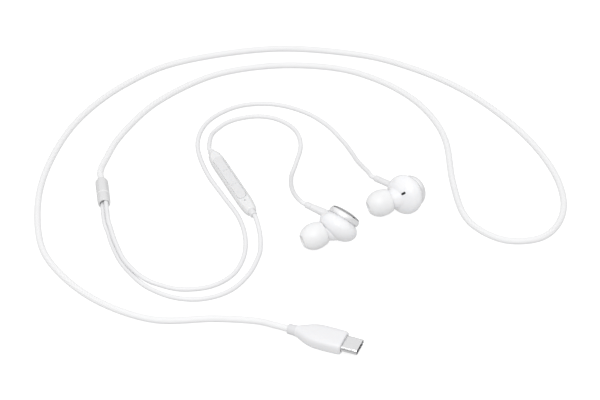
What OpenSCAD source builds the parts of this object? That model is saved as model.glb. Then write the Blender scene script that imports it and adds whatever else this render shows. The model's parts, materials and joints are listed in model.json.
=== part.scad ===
// Wired in-ear earphones: two earbuds, an in-line remote, a Y splitter with a chin slider and a USB-C plug.
// Millimetres. +Z is up and the whole set lies on the plane z = 0.
// The origin is under the middle of the pair of earbuds.

/* [Earbud housing] */
// Diameter of the housing at its widest ring
housing_d = 16.8; // [16.6:0.1:17.6]
// Depth of the front dome, ahead of the widest ring
dome_depth = 5.4; // [5.3:0.1:6]
// Height of the rounded shoulder behind the widest ring, up to the seam
shoulder_h = 3.3; // [3.2:0.1:3.6]
// Diameter of the shoulder at the seam
rim_d = 12.6; // [12.5:0.1:13]
// Diameter of the opening behind the driver
opening_d = 11.4; // [11.3:0.1:11.5]
// Wall of the front housing
housing_wall = 0.9; // [0.8:0.05:1]
// Diameter of the rear housing, which is the floor of the groove
rear_d = 12; // [11.9:0.1:12.2]
// Wall of the rear housing
rear_wall = 0.7; // [0.5:0.05:0.8]
// Depth of the rear housing behind the seam
rear_h = 2.3; // [2.2:0.1:2.6]
// Width of the groove between the front housing and the bezel
groove_w = 0.35; // [0.3:0.05:0.5]
// Outer diameter of the bezel
bezel_d = 13.6; // [13.4:0.1:14]
// Height of the bezel along the housing's axis
bezel_h = 2.25; // [2.15:0.05:2.6]
// How much narrower the bezel's rear edge is, on each side
bezel_taper = 0.5; // [0.4:0.05:0.6]
// Diameter of the cap in the bezel
cap_d = 11.2; // [11:0.1:11.4]
// Rise of the domed cap and bezel at the middle
cap_crown = 1.5; // [1.2:0.1:1.7]

/* [Nozzle and ear tip] */
// Angle between the nozzle and the housing's axis
nozzle_angle = 37; // [35:1:39]
// Diameter of the nozzle's neck
nozzle_d = 5; // [4.6:0.1:5.2]
// Diameter of the lip that holds the ear tip
lip_d = 5.6; // [5.3:0.1:5.8]
// Bore of the nozzle
nozzle_bore_d = 3.4; // [3:0.1:3.8]
// Distance from the housing's centre to the nozzle's end
nozzle_reach = 13; // [12.4:0.1:13.4]
// Largest diameter of the ear tip
tip_d = 11.2; // [10.8:0.1:11.6]
// Length of the ear tip
tip_length = 9.9; // [9.4:0.1:10.4]
// Distance from the housing's centre to the ear tip's rear rim
tip_rim = 6.5; // [6.5:0.05:6.8]
// Thickness of the ear tip's skirt
skirt_t = 0.6; // [0.4:0.05:0.8]
// Thickness of the ear tip's sleeve
sleeve_t = 0.7; // [0.5:0.05:0.8]
// Diameter of the ear tip's mouth
mouth_d = 4.2; // [3.8:0.1:4.6]
// Play between the ear tip's sleeve and the lip
tip_play = 0.05; // [0.03:0.01:0.1]

/* [Driver] */
// Diameter of the driver's flange
driver_d = 11; // [10.8:0.1:11.2]
// Depth from the widest ring to the driver's seat
seat_depth = 2.4; // [2.35:0.05:2.5]
// Thickness of the driver's flange
flange_t = 0.6; // [0.5:0.05:0.7]
// Diameter of the driver's can
can_d = 9.4; // [9:0.1:9.6]
// Length of the can behind the flange
can_h = 3; // [2.8:0.1:3.2]
// Diameter of the magnet
magnet_d = 5.8; // [5.4:0.1:6]
// Thickness of the magnet
magnet_h = 0.9; // [0.8:0.05:1]

/* [Cable boots] */
// Diameter of an earbud's boot at the cord's end
boot_d = 2.8; // [2.6:0.1:3]
// Length of the boot outside the housing
boot_length = 8.3; // [8:0.1:10]
// Widest height of the boot's flare at the housing
boot_flare = 3.44; // [3.2:0.02:3.6]
// Angle round the housing from the nozzle to the boot
boot_azimuth = 34.5; // [32:0.5:38]
// Lean of the boot towards the front of the housing
boot_lean = 3.2; // [3:0.1:5]

/* [Cords] */
// Diameter of the braided main cord
main_cord_d = 2.8; // [2.4:0.1:3.2]
// Diameter of each ear cord
ear_cord_d = 1.9; // [1.6:0.05:1.95]

/* [Splitter and slider] */
// Diameter of the splitter and of the slider
splitter_d = 5.4; // [5.3:0.1:6.4]
// Length of the splitter's sleeve
splitter_length = 8.9; // [8:0.1:12]
// Length of the neck where the main cord enters
neck_length = 1.6; // [1.2:0.1:4]
// Diameter of that neck
neck_d = 3.9; // [3.6:0.1:4.2]
// Length of the chin slider
slider_length = 5.8; // [5.4:0.1:9]
// Travel of the chin slider along the straight stretch of the ear cords
slider_travel = 10; // [6:1:11]
// Distance between the middles of the two ear cords in the slider
cord_pitch = 2.1; // [2.05:0.05:2.3]
// Play round the ear cords in the slider
slider_play = 0.15; // [0.1:0.05:0.2]

/* [Remote] */
// Diameter of the remote's body
remote_d = 6.3; // [6.1:0.1:7]
// Length of the remote's covers
remote_length = 43; // [41:0.5:50]
// Length over which each end of the covers tapers
remote_taper = 9; // [6:0.5:10]
// Wall of the remote's covers
remote_wall = 0.6; // [0.5:0.05:0.65]
// Turn of the remote about its axis, from keys up towards keys away from the viewer
remote_roll = -16; // [-30:1:40]
// Height of the flat key face above the remote's axis
key_face = 2.35; // [2.3:0.05:2.45]
// Length of each key
key_length = 10; // [9:0.1:10.4]
// Width of the keys
key_width = 3.8; // [3.4:0.1:3.9]
// How far the keys stand above the key face
key_rise = 0.3; // [0.2:0.05:0.5]
// Travel of a key
key_travel = 0.25; // [0.1:0.05:0.25]
// Gap round and between the keys
key_gap = 0.12; // [0.08:0.01:0.15]

/* [Plug] */
// Length of the plug's grip, with its boot
grip_length = 23.6; // [22.6:0.2:30]
// Widest part of the grip
grip_width = 11.2; // [10.8:0.1:12.5]
// Thickness of the grip
grip_height = 6.1; // [5.9:0.1:7]
// Diameter of the boot at the end of the grip
grip_boot_d = 4.1; // [3.6:0.1:5]
// Width of the metal shell
shell_width = 8.34; // [8.3:0.01:8.4]
// Height of the metal shell
shell_height = 2.56; // [2.5:0.01:2.6]
// Length of the shell that shows
shell_reach = 6.65; // [6.5:0.05:7]
// Wall of the metal shell
shell_wall = 0.3; // [0.25:0.01:0.35]
// Number of contacts in each row
contact_count = 12; // [10:1:12]

/* [Hidden] */
$fn = 64;

LEFT = -1;
RIGHT = 1;

gloss_white = [0.93, 0.93, 0.95];
soft_white = [0.9, 0.9, 0.92];
cord_white = [0.94, 0.94, 0.95];
steel = [0.72, 0.72, 0.74];
polished = [0.62, 0.62, 0.65];
copper = [0.72, 0.42, 0.22];
gold = [0.85, 0.68, 0.32];
black = [0.06, 0.06, 0.07];
board_green = [0.1, 0.32, 0.18];

// Small fits
fit = 0.05;
eps = 0.01;

// Where each piece lies: place on the floor plane, and turns about X, Y and Z in that order
left_at = [-10.3, -8.92, 7.355];
left_turn = [38.5, -36.4, 174.5];
right_at = [17.59, 11.19, 8.275];
right_turn = [105, 33.7, 148.2];
remote_at = [-54.6, 25.7];
remote_heading = 113.4;
splitter_at = [-108.55, 17.9];
splitter_heading = -82.5;
plug_at = [-8.7, -76.7];
plug_heading = -21.8;
// Moves the whole layout so that the middle of the pair of earbuds is over the origin
layout_shift = [-0.1, -2.29, 0];

// Heights of the axes of the pieces that lie on the floor
remote_axis_h = remote_d / 2;
splitter_axis_h = splitter_d / 2;
grip_flat = 0.15;
plug_axis_h = grip_height / 2 - grip_flat;

// Earbud
housing_r = housing_d / 2;
inner_r = housing_r - housing_wall;
inner_depth = dome_depth - housing_wall;
// The shoulder is part of an ellipse that passes through the seam's edge
shoulder_depth = shoulder_h / sqrt(1 - (rim_d / housing_d) * (rim_d / housing_d));
inner_shoulder = shoulder_depth - housing_wall;
opening_r = opening_d / 2;
shelf_t = 0.7;
shelf_r = driver_d / 2 - 0.6;
seat_r = driver_d / 2 + fit;
spigot_h = 0.7;
rear_top = shoulder_h + rear_h;
bezel_base = shoulder_h + groove_w;
bezel_top = bezel_base + bezel_h;
// Bezel and cap share one domed surface, which starts at the bezel's rear edge
crown_r = bezel_d / 2 - bezel_taper;
boot_axis_h = 2;
boot_core_r = 1;
boot_flange_r = 1.25;
boot_flange_t = 0.5;
boot_inner = opening_r + fit;
boot_end = housing_r + boot_length;
collar_length = 2.2;
mesh_t = 0.3;
mesh_r = nozzle_bore_d / 2 + 0.4;
vent_azimuth = 162;
vent_place = 63;
vent_turn = -6;
vent_length = 2.2;
vent_width = 1;
vent_depth = 0.55;
vent_pocket_d = vent_length + 0.7;
vent_mesh_t = 0.2;
vent_normal = 90 + atan2(sin(vent_place) / dome_depth, cos(vent_place) / housing_r);

// Driver, from its seat back
flange_z = -seat_depth;
can_z = flange_z + flange_t;
can_top = can_z + can_h;
can_floor = can_top - 0.7;
magnet_z = can_floor - magnet_h;
plate_t = 0.4;
plate_z = magnet_z - plate_t;
plate_r = magnet_d / 2 + 0.1;
coil_r = plate_r + 0.15;
coil_t = 0.25;
coil_h = 1.5;
gap_r = coil_r + coil_t + 0.2;
ledge_r = driver_d / 2 - 0.25;
ledge_z = flange_z + 0.3;
film_t = 0.12;

// Remote
remote_r = remote_d / 2;
remote_half = remote_length / 2;
remote_end_r = 1.9;
cavity_r = remote_r - remote_wall;
cavity_half = remote_half - 2.6;
cover_seam = -0.3;
face_inner = key_face - remote_wall;
key_flange_t = 0.3;
key_flange_w = key_width + 2 * key_gap + 0.26;
key_flange_z = sqrt(pow(cavity_r, 2) - pow(key_flange_w / 2 + 0.05, 2)) - key_flange_t;
strip_half = 1.5 * key_length + key_gap;
// The key strip sits nearer to the earbud's end, the microphone beyond its other end
strip_shift = 1.2;
microphone_x = strip_shift - strip_half - 1.7;
board_t = 0.6;
board_z = -0.85;
switch_base_h = 0.5;
switch_top = board_z + board_t + switch_base_h + 0.25;
key_post_z = switch_top + key_travel + 0.05;
remote_boot_reach = 2.4;
remote_boot_r = 1.25;
remote_bore_r = remote_boot_r + fit;
remote_end = remote_half + remote_boot_reach;
rib_place = 0.28 * remote_length;

// Splitter
seam_gap = 0.25;
core_r = neck_d / 2 + 0.1;

// Plug: the grip's front face is at x = 0 and the shell points to +X
shell_buried = 3;
insulator_length = shell_reach + shell_buried - 1;
slot_width = 6.8;
slot_height = 0.95;
slot_depth = 5.8;
contact_pitch = 0.5;
contact_w = 0.25;
contact_t = 0.1;
plug_board_t = 0.8;
plug_board_length = 8;
plug_board_width = 8;

// Ear cords: straight and side by side through the slider and its travel
straight_half = (slider_length + slider_travel + 2) / 2;
// Turn of the pair of ear cords about the slider's axis: the right one lies higher
pair_roll = 43;
pair_side = cord_pitch / 2 * [0, cos(pair_roll), sin(pair_roll)];
// Length over which a cord leaves a boot straight
cord_exit = 2;
main_cord_exit = 6;

// Routes, chosen by hand, from the splitter to the plug, the earbuds and the remote
MAIN_ROUTE = [
    [-109.1, 43.8, 1.8], [-103.6, 61.5, 1.4], [-90.3, 84.5, 1.4], [-70.7, 102.8, 1.4],
    [-52.9, 111.2, 1.4], [-31, 114.5, 1.4], [-8, 111.6, 1.4], [9.8, 102.2, 1.4], [23.5, 88.9, 1.4],
    [32.4, 73.3, 1.4], [37.1, 55.9, 1.4], [38.5, 29.8, 1.4], [41.8, 7.9, 1.4], [48.2, -3.6, 1.4],
    [59, -10.7, 1.4], [72, -9.6, 1.4], [80.3, -1.1, 1.4], [84.4, 13.9, 1.4], [82.3, 33.8, 1.4],
    [74.2, 55.9, 1.4], [61.2, 77.5, 1.4], [44.9, 96.6, 1.4], [23.8, 112.4, 1.4],
    [-0.1, 122.9, 1.4], [-38, 127.4, 1.4], [-79.5, 117.2, 1.4], [-103.3, 100, 1.4],
    [-121, 76.3, 1.4], [-131.2, 49.6, 1.4], [-135.7, 19.9, 1.4], [-132.7, -11.9, 1.4],
    [-123.1, -32.1, 1.4], [-106.2, -49.8, 1.4], [-84, -60.7, 1.4], [-60, -60.1, 1.4],
    [-44, -61.4, 1.4]
];
RIGHT_ROUTE = [
    [-104, -5.1, 2.9], [-101.9, -12.9, 2.65], [-98.1, -23.7, 2.65], [-93.5, -31.4, 2.75],
    [-88.9, -35.9, 2.1], [-83.6, -38.2, 0.95], [-74, -41.5, 0.95], [-62.2, -39.8, 0.95],
    [-53.3, -32.4, 0.95], [-49, -20.8, 0.95], [-48.6, -8, 0.95], [-51.6, 5.3, 0.95],
    [-58.5, 20, 0.95], [-65.6, 35.5, 0.95], [-70, 52.8, 0.95], [-68.7, 66.4, 0.95],
    [-62.8, 76.6, 0.95], [-52, 84.1, 0.95], [-38, 85.3, 0.95], [-25, 80, 0.95],
    [-15.1, 70.8, 0.95], [-7.8, 58.7, 0.95], [-4, 48.9, 2], [-1.7, 40.3, 3.9], [0.8, 33, 5.9],
    [2.8, 27.8, 7.2]
];
LEFT_LOWER_ROUTE = [
    [-105.2, -5.5, 1.3], [-103.6, -11.7, 0.95], [-99.6, -22.9, 0.95], [-94.9, -31.1, 0.95],
    [-88, -39.7, 0.95], [-77, -46.4, 0.95], [-65.1, -47.5, 0.95], [-54.2, -42.4, 0.95],
    [-46.8, -32.1, 0.95], [-42.8, -20, 0.95], [-42.2, -12.5, 1.1], [-42.7, -5.6, 2]
];
LEFT_UPPER_ROUTE = [
    [-65, 53.1, 2.8], [-64.5, 60, 2.1], [-62.6, 65.7, 1.1], [-57.7, 71.7, 0.95], [-51, 75.1, 0.95],
    [-43, 76.2, 0.95], [-34.9, 73.4, 0.95], [-28.1, 66, 0.95], [-25.7, 55, 0.95],
    [-27.6, 42.9, 0.95], [-29.5, 33.5, 1.6], [-29.8, 26.6, 3.7], [-29.6, 19.3, 6.2],
    [-28.7, 11.9, 8.8], [-27.1, 5.6, 10.8]
];
MAIN_RINGS = 46;
RIGHT_RINGS = 30;
LEFT_LOWER_RINGS = 17;
LEFT_UPPER_RINGS = 17;
CORD_SIDES = 8;

// ---------- points, frames and sweeps ----------

function arc_pts(cx, cy, rx, ry, a0, a1, n) =
    [for (i = [0:n]) let (a = a0 + (a1 - a0) * i / n) [cx + rx * cos(a), cy + ry * sin(a)]];
function unit(v) = v / norm(v);
function turn_x(a) = [[1, 0, 0], [0, cos(a), -sin(a)], [0, sin(a), cos(a)]];
function turn_y(a) = [[cos(a), 0, sin(a)], [0, 1, 0], [-sin(a), 0, cos(a)]];
function turn_z(a) = [[cos(a), -sin(a), 0], [sin(a), cos(a), 0], [0, 0, 1]];
function turned(r, p) = turn_z(r[2]) * (turn_y(r[1]) * (turn_x(r[0]) * p));

function bud_at(side) = layout_shift + (side == LEFT ? left_at : right_at);
function bud_turn(side) = side == LEFT ? left_turn : right_turn;
function boot_axis(side) = [
    cos(boot_lean) * cos(boot_azimuth), side * cos(boot_lean) * sin(boot_azimuth), -sin(boot_lean)
];
function boot_point(side, d) =
    bud_at(side) + turned(bud_turn(side), [0, 0, boot_axis_h] + d * boot_axis(side));
function remote_place() = layout_shift + [remote_at.x, remote_at.y, remote_axis_h];
function splitter_place() = layout_shift + [splitter_at.x, splitter_at.y, splitter_axis_h];
function plug_place() = layout_shift + [plug_at.x, plug_at.y, plug_axis_h];
function remote_point(x) =
    remote_place() + turned([0, 0, remote_heading], [x, 0, 0]);
function splitter_point(x, side) =
    splitter_place() + turned([0, 0, splitter_heading], [x, 0, 0] + side * pair_side);
function plug_point(x) =
    plug_place() + turned([0, 0, plug_heading], [x, 0, 0]);
function laid(route) = [for (p = route) p + layout_shift];

// A smooth line through hand-chosen points, straight out of its first and last pair
function knot(p, i) =
    i < 0 ? 2 * p[0] - p[1] : i >= len(p) ? 2 * p[len(p) - 1] - p[len(p) - 2] : p[i];
function span_of(p, u) = min(floor(u), len(p) - 2);
function route_at(p, u) =
    let (i = span_of(p, u), t = u - i, a = knot(p, i - 1), b = p[i], c = p[i + 1], d = knot(p, i + 2))
    b + t * (c - a) / 2 + t * t * (a - 2.5 * b + 2 * c - d / 2) + t * t * t * ((d - a) / 2 + 1.5 * (b - c));
function heading_at(p, u) =
    let (i = span_of(p, u), t = u - i, a = knot(p, i - 1), b = p[i], c = p[i + 1], d = knot(p, i + 2))
    unit((c - a) / 2 + 2 * t * (a - 2.5 * b + 2 * c - d / 2) + 3 * t * t * ((d - a) / 2 + 1.5 * (b - c)));
function ring_at(p, u, r, sides) =
    let (c = route_at(p, u), h = heading_at(p, u), n = unit(cross(h, [0, 0, 1])), m = cross(n, h))
    [for (k = [0:sides - 1]) let (a = 360 * (k + 0.5) / sides) c + r * (cos(a) * n + sin(a) * m)];

// Skin over rings of equally many points, closed at both ends
module skin(rings) {
    sides = len(rings[0]);
    last = len(rings) - 1;
    walls = [
        for (i = [0:last - 1]) for (k = [0:sides - 1]) let (q = (k + 1) % sides)
        [i * sides + k, i * sides + q, (i + 1) * sides + q, (i + 1) * sides + k]
    ];
    start_cap = [[for (k = [sides - 1:-1:0]) k]];
    end_cap = [[for (k = [0:sides - 1]) last * sides + k]];
    polyhedron(points = [for (ring = rings) for (p = ring) p], faces = concat(walls, start_cap, end_cap));
}

module cord(route, d, count) {
    last = len(route) - 1;
    skin([for (i = [0:count - 1]) ring_at(route, last * i / (count - 1), d / 2, CORD_SIDES)]);
}

module on_bud(side) {
    translate(bud_at(side)) rotate(bud_turn(side)) children();
}
module on_nozzle() {
    rotate([0, 180 - nozzle_angle, 0]) children();
}
module on_boot(side) {
    translate([0, 0, boot_axis_h]) rotate([0, 90 + boot_lean, side * boot_azimuth]) children();
}
module on_vent(side) {
    rotate(side * vent_azimuth)
        translate([housing_r * cos(vent_place), 0, -dome_depth * sin(vent_place)])
        rotate([0, vent_normal, 0]) rotate(side * vent_turn) children();
}
module on_remote() {
    translate(remote_place()) rotate([remote_roll, 0, remote_heading]) children();
}
module on_splitter() {
    translate(splitter_place()) rotate([0, 0, splitter_heading]) children();
}
module on_plug() {
    translate(plug_place()) rotate([0, 0, plug_heading]) children();
}
module along_x() {
    rotate([0, 90, 0]) children();
}
module stadium(length, width) {
    square([length - width, width], center = true);
    for (s = [-1, 1]) translate([s * (length - width) / 2, 0]) circle(d = width);
}

// ---------- earbud ----------

// Outer form of the front housing: an oblate dome in front and a rounder shoulder behind
module housing_form(grow) {
    seam = asin(shoulder_h / (shoulder_depth + grow));
    rotate_extrude() polygon(concat(
        arc_pts(0, 0, housing_r + grow, dome_depth + grow, -90, 0, 18),
        arc_pts(0, 0, housing_r + grow, shoulder_depth + grow, 4, seam, 9),
        [[0, shoulder_h]]
    ));
}

module front_housing(side) {
    color(gloss_white) on_bud(side) difference() {
        union() {
            housing_form(0);
            on_nozzle() nozzle_body();
        }
        housing_cavity();
        on_nozzle() nozzle_bore();
        on_boot(side) boot_hole();
        on_vent(side) vent_cut();
    }
}

module housing_cavity() {
    shelf_front = seat_depth + shelf_t;
    seat_back = seat_depth - flange_t;
    rotate_extrude() polygon(concat(
        arc_pts(0, 0, inner_r, inner_depth, -90, -asin(shelf_front / inner_depth), 12),
        [[shelf_r, -shelf_front], [shelf_r, -seat_depth], [seat_r, -seat_depth], [seat_r, -seat_back]],
        arc_pts(0, 0, inner_r, inner_depth, -asin(seat_back / inner_depth), 0, 6),
        arc_pts(0, 0, inner_r, inner_shoulder, 6, acos(opening_r / inner_r), 6),
        [[opening_r, shoulder_h + 1], [0, shoulder_h + 1]]
    ));
}

// Horn that grows out of the dome, neck with a fillet at its root and a lip at its end
horn_start = 2;
horn_r = 5.4;
root_fillet = 1.3;
root_end = tip_rim + 1.4;
module nozzle_body() {
    neck_r = nozzle_d / 2;
    lip_r = lip_d / 2;
    rotate_extrude() polygon(concat(
        [[0, horn_start], [horn_r, horn_start]],
        arc_pts(neck_r + root_fillet, root_end, root_fillet, root_fillet, 270, 180, 6),
        [[neck_r, nozzle_reach - 1.2], [lip_r, nozzle_reach - 1]],
        [[lip_r, nozzle_reach - 0.4], [lip_r - 0.3, nozzle_reach], [0, nozzle_reach]]
    ));
}

bore_start = 4.2;
module nozzle_bore() {
    translate([0, 0, bore_start]) cylinder(d = nozzle_bore_d, h = nozzle_reach);
    translate([0, 0, nozzle_reach - 2 * mesh_t]) cylinder(r = mesh_r + fit, h = 1);
}

// Hole for the boot's core, with a pocket for its flange inside the wall
module boot_hole() {
    translate([0, 0, boot_inner - fit]) cylinder(r = boot_flange_r + fit, h = boot_flange_t + 2 * fit);
    translate([0, 0, boot_inner]) cylinder(r = boot_core_r + fit, h = housing_r);
}

// A small slot through the dome with a round pocket behind it for its mesh
module vent_cut() {
    translate([0, 0, -vent_depth - eps]) linear_extrude(2) stadium(vent_length, vent_width);
    translate([0, 0, -vent_depth - 0.7]) cylinder(d = vent_pocket_d, h = 0.7);
}

module rear_housing(side) {
    rear_r = rear_d / 2;
    spigot_r = opening_r - fit;
    bore_r = spigot_r - rear_wall;
    color(soft_white) on_bud(side) rotate_extrude() polygon([
        [bore_r, shoulder_h - spigot_h], [spigot_r, shoulder_h - spigot_h], [spigot_r, shoulder_h],
        [rear_r, shoulder_h], [rear_r, rear_top], [0, rear_top], [0, rear_top - rear_wall],
        [bore_r, rear_top - rear_wall]
    ]);
}

// Ring with a slightly bellied side and a top that carries on the cap's dome
module bezel(side) {
    r = bezel_d / 2;
    seat = rear_d / 2 + fit;
    lip = cap_d / 2 + fit;
    color(polished) on_bud(side) rotate_extrude() polygon(concat(
        [[seat, bezel_base], [r - 0.3, bezel_base], [r - 0.15, bezel_base + 0.15]],
        [[r, bezel_base + 0.45 * bezel_h], [r - 0.4 * bezel_taper, bezel_base + 0.8 * bezel_h]],
        arc_pts(0, bezel_top, crown_r, cap_crown, 0, acos(lip / crown_r), 5),
        [[lip, rear_top], [seat, rear_top]]
    ));
}

module rear_cap(side) {
    r = cap_d / 2;
    sink = 0.06;
    edge = bezel_top - sink + cap_crown * sqrt(1 - (r / crown_r) * (r / crown_r));
    color(gloss_white) on_bud(side) rotate_extrude() polygon(concat(
        [[0, rear_top], [r, rear_top], [r, edge - sink]],
        arc_pts(0, bezel_top - sink, crown_r, cap_crown, acos((r - sink) / crown_r), 90, 12)
    ));
}

module nozzle_mesh(side) {
    ring_count = 6;
    hole_d = 0.36;
    color(steel) on_bud(side) on_nozzle() translate([0, 0, nozzle_reach - 2 * mesh_t]) difference() {
        cylinder(r = mesh_r, h = mesh_t);
        translate([0, 0, -eps]) cylinder(d = hole_d, h = 1, $fn = 16);
        for (i = [0:2 * ring_count - 1]) rotate(i * 180 / ring_count)
            translate([i % 2 == 0 ? 0.75 : 1.3, 0, -eps]) cylinder(d = hole_d, h = 1, $fn = 16);
    }
}

module vent_mesh(side) {
    color(black) on_bud(side) on_vent(side) translate([0, 0, -vent_depth - vent_mesh_t])
        cylinder(d = vent_pocket_d - 2 * fit, h = vent_mesh_t);
}

// Ball-like silicone dome with a rolled-back skirt round an inner sleeve that grips the nozzle's lip
tip_wide = tip_rim + 0.45 * tip_length;
function tip_back(s) = tip_d / 2 * (1 - 0.16 * pow((tip_wide - s) / (tip_wide - tip_rim), 2));
module ear_tip(side) {
    r = tip_d / 2;
    front = tip_rim + tip_length;
    mouth_r = mouth_d / 2;
    nose = acos((mouth_r + 0.3) / r);
    sleeve_in = lip_d / 2 + tip_play;
    sleeve_out = sleeve_in + sleeve_t;
    sleeve_base = tip_rim + 1.9;
    bore_end = nozzle_reach + 0.3;
    hollow = front - 2.3 - tip_wide;
    step = (tip_wide - tip_rim) / 4;
    rim_in = tip_rim + 0.3;
    color(soft_white) on_bud(side) on_nozzle() rotate_extrude() polygon(concat(
        [for (i = [0:3]) [tip_back(tip_rim + i * step), tip_rim + i * step]],
        arc_pts(0, tip_wide, r, (front - tip_wide) / sin(nose), 0, nose, 14),
        [[mouth_r, front - 0.25], [mouth_r, bore_end], [sleeve_in, bore_end], [sleeve_in, sleeve_base]],
        [[sleeve_out, sleeve_base]],
        arc_pts(sleeve_out, tip_wide, r - skirt_t - sleeve_out, hollow, 90, 0, 8),
        [for (i = [3:-1:1]) [tip_back(tip_rim + i * step) - skirt_t, tip_rim + i * step]],
        [[tip_back(rim_in) - skirt_t, rim_in]]
    ));
}

// Sections of the boot outside the housing: distance, half width, half height and rise towards the cap
function boot_sections() = let (r = boot_d / 2, h = boot_flare / 2) [
    [housing_r + 0.4, 0.93 * r, h, 0.26], [housing_r + 2.6, 0.93 * r, 0.6 * h + 0.4 * r, 0.18],
    [boot_end - collar_length - 0.5, 0.96 * r, 1.01 * r, 0.03],
    [boot_end - collar_length - 0.1, 0.91 * r, 0.91 * r, 0], [boot_end - collar_length, r, r, 0],
    [boot_end - 0.3, r, r, 0], [boot_end, r - 0.25, r - 0.25, 0]
];
BOOT_SIDES = 24;
function boot_ring(wide, high, rise) =
    [for (k = [0:BOOT_SIDES - 1]) let (a = 360 * (k + 0.5) / BOOT_SIDES) [high * cos(a) - rise, wide * sin(a)]];
// Distance along the boot at which the line through (x, y) comes out of the housing and clears the bezel
function boot_reach(x, y) = let (
        a = 90 + boot_lean, r = housing_r + 2 * fit, h = shoulder_depth + 2 * fit, ring = bezel_d / 2 + 0.1,
        x0 = cos(a) * x, z0 = boot_axis_h - sin(a) * x,
        p = pow(sin(a) / r, 2) + pow(cos(a) / h, 2),
        q = x0 * sin(a) / (r * r) + z0 * cos(a) / (h * h),
        c = (x0 * x0 + y * y) / (r * r) + z0 * z0 / (h * h) - 1
    ) max((-q + sqrt(max(0, q * q - p * c))) / p, (sqrt(ring * ring - y * y) - x0) / sin(a));
function boot_flat(points, d) = [for (p = points) [p.x, p.y, d]];
function boot_seated(points) = [for (p = points) [p.x, p.y, boot_reach(p.x, p.y)]];
module cable_boot(side) {
    flange = boot_ring(boot_flange_r, boot_flange_r, 0);
    core = boot_ring(boot_core_r, boot_core_r, 0);
    color(soft_white) on_bud(side) on_boot(side) skin(concat(
        [boot_flat(flange, boot_inner), boot_flat(flange, boot_inner + boot_flange_t)],
        [boot_flat(core, boot_inner + boot_flange_t), boot_seated(core)],
        [boot_seated(boot_ring(0.93 * boot_d / 2, boot_flare / 2 + 0.05, 0.3))],
        [for (s = boot_sections()) boot_flat(boot_ring(s[1], s[2], s[3]), s[0])]
    ));
}

// ---------- driver ----------

module driver_can(side) {
    r = driver_d / 2;
    can_r = can_d / 2;
    color(steel) on_bud(side) rotate_extrude() polygon([
        [ledge_r, flange_z], [r, flange_z], [r, can_z], [can_r, can_z], [can_r, can_top - 0.2],
        [can_r - 0.2, can_top], [0, can_top], [0, can_floor], [gap_r, can_floor], [gap_r, plate_z],
        [can_r - 0.5, can_z], [ledge_r - 0.5, ledge_z], [ledge_r, ledge_z]
    ]);
}

module driver_magnet(side) {
    color(steel) on_bud(side) translate([0, 0, magnet_z]) cylinder(d = magnet_d, h = magnet_h);
}

module pole_plate(side) {
    color(polished) on_bud(side) translate([0, 0, plate_z]) cylinder(r = plate_r, h = plate_t);
}

module voice_coil(side) {
    color(copper) on_bud(side) rotate_extrude() translate([coil_r, ledge_z]) square([coil_t, coil_h]);
}

// Thin film: a shallow dome inside the coil and a rolled surround outside it
module diaphragm(side) {
    coil_out = coil_r + coil_t;
    rim = ledge_r - 0.05;
    roll = (rim - 0.4 - coil_out) / 2;
    dome = arc_pts(0, ledge_z - film_t, coil_r, 0.35, -90, 0, 6);
    surround = arc_pts(coil_out + roll, ledge_z - film_t, roll, 0.25, 180, 360, 8);
    front = concat(dome, surround, [[rim, ledge_z - film_t]]);
    back = [for (i = [len(front) - 1:-1:0]) [front[i].x, front[i].y + film_t]];
    color("whitesmoke") on_bud(side) rotate_extrude() polygon(concat(front, back));
}

module terminal_board(side) {
    color(board_green) on_bud(side) translate([0, 0, can_top]) linear_extrude(0.4) stadium(6, 3);
}

// ---------- remote ----------

// Body of revolution along X with quarter-ellipse tapers
module remote_form(half, r, end_r, taper) {
    along_x() rotate_extrude() polygon(concat(
        [[0, -half]],
        [for (a = [0:10:90]) [end_r + (r - end_r) * sin(a), -half + taper * (1 - cos(a))]],
        [for (a = [90:-10:0]) [end_r + (r - end_r) * sin(a), half - taper * (1 - cos(a))]],
        [[0, half]]
    ));
}
module remote_cavity() {
    intersection() {
        remote_form(cavity_half, cavity_r, remote_end_r - 0.4, remote_taper - 2.6);
        translate([-remote_length, -remote_d, -remote_d])
            cube([2 * remote_length, 2 * remote_d, remote_d + face_inner]);
    }
}
module remote_slab(low, high) {
    translate([-remote_length, -remote_d, low]) cube([2 * remote_length, 2 * remote_d, high - low]);
}
module remote_bores() {
    for (s = [-1, 1]) translate([s * (remote_half - 1.5), 0, 0]) along_x()
        cylinder(r = remote_bore_r, h = 6, center = true);
}
module key_strip(grow, low, high) {
    translate([0, 0, low]) linear_extrude(high - low)
        stadium(2 * (strip_half + grow), key_width + 2 * grow);
}

module remote_front_cover() {
    color(gloss_white) on_remote() difference() {
        intersection() {
            remote_form(remote_half, remote_r, remote_end_r, remote_taper);
            remote_slab(cover_seam, key_face);
        }
        remote_cavity();
        remote_bores();
        translate([strip_shift, 0, 0]) key_strip(key_gap, 0, remote_r);
        translate([microphone_x, 0, 0]) cylinder(d = 0.7, h = remote_r);
    }
}

module remote_rear_cover() {
    color(gloss_white) on_remote() {
        difference() {
            intersection() {
                remote_form(remote_half, remote_r, remote_end_r, remote_taper);
                remote_slab(-remote_r, cover_seam);
            }
            remote_cavity();
            remote_bores();
        }
        intersection() {
            remote_form(cavity_half, cavity_r + eps, remote_end_r - 0.4, remote_taper - 2.6);
            union() {
                for (x = [-rib_place, 0, rib_place]) translate([x - 0.5, -remote_r, -remote_r])
                    cube([1, remote_d, remote_r + board_z]);
            }
        }
    }
}

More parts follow.
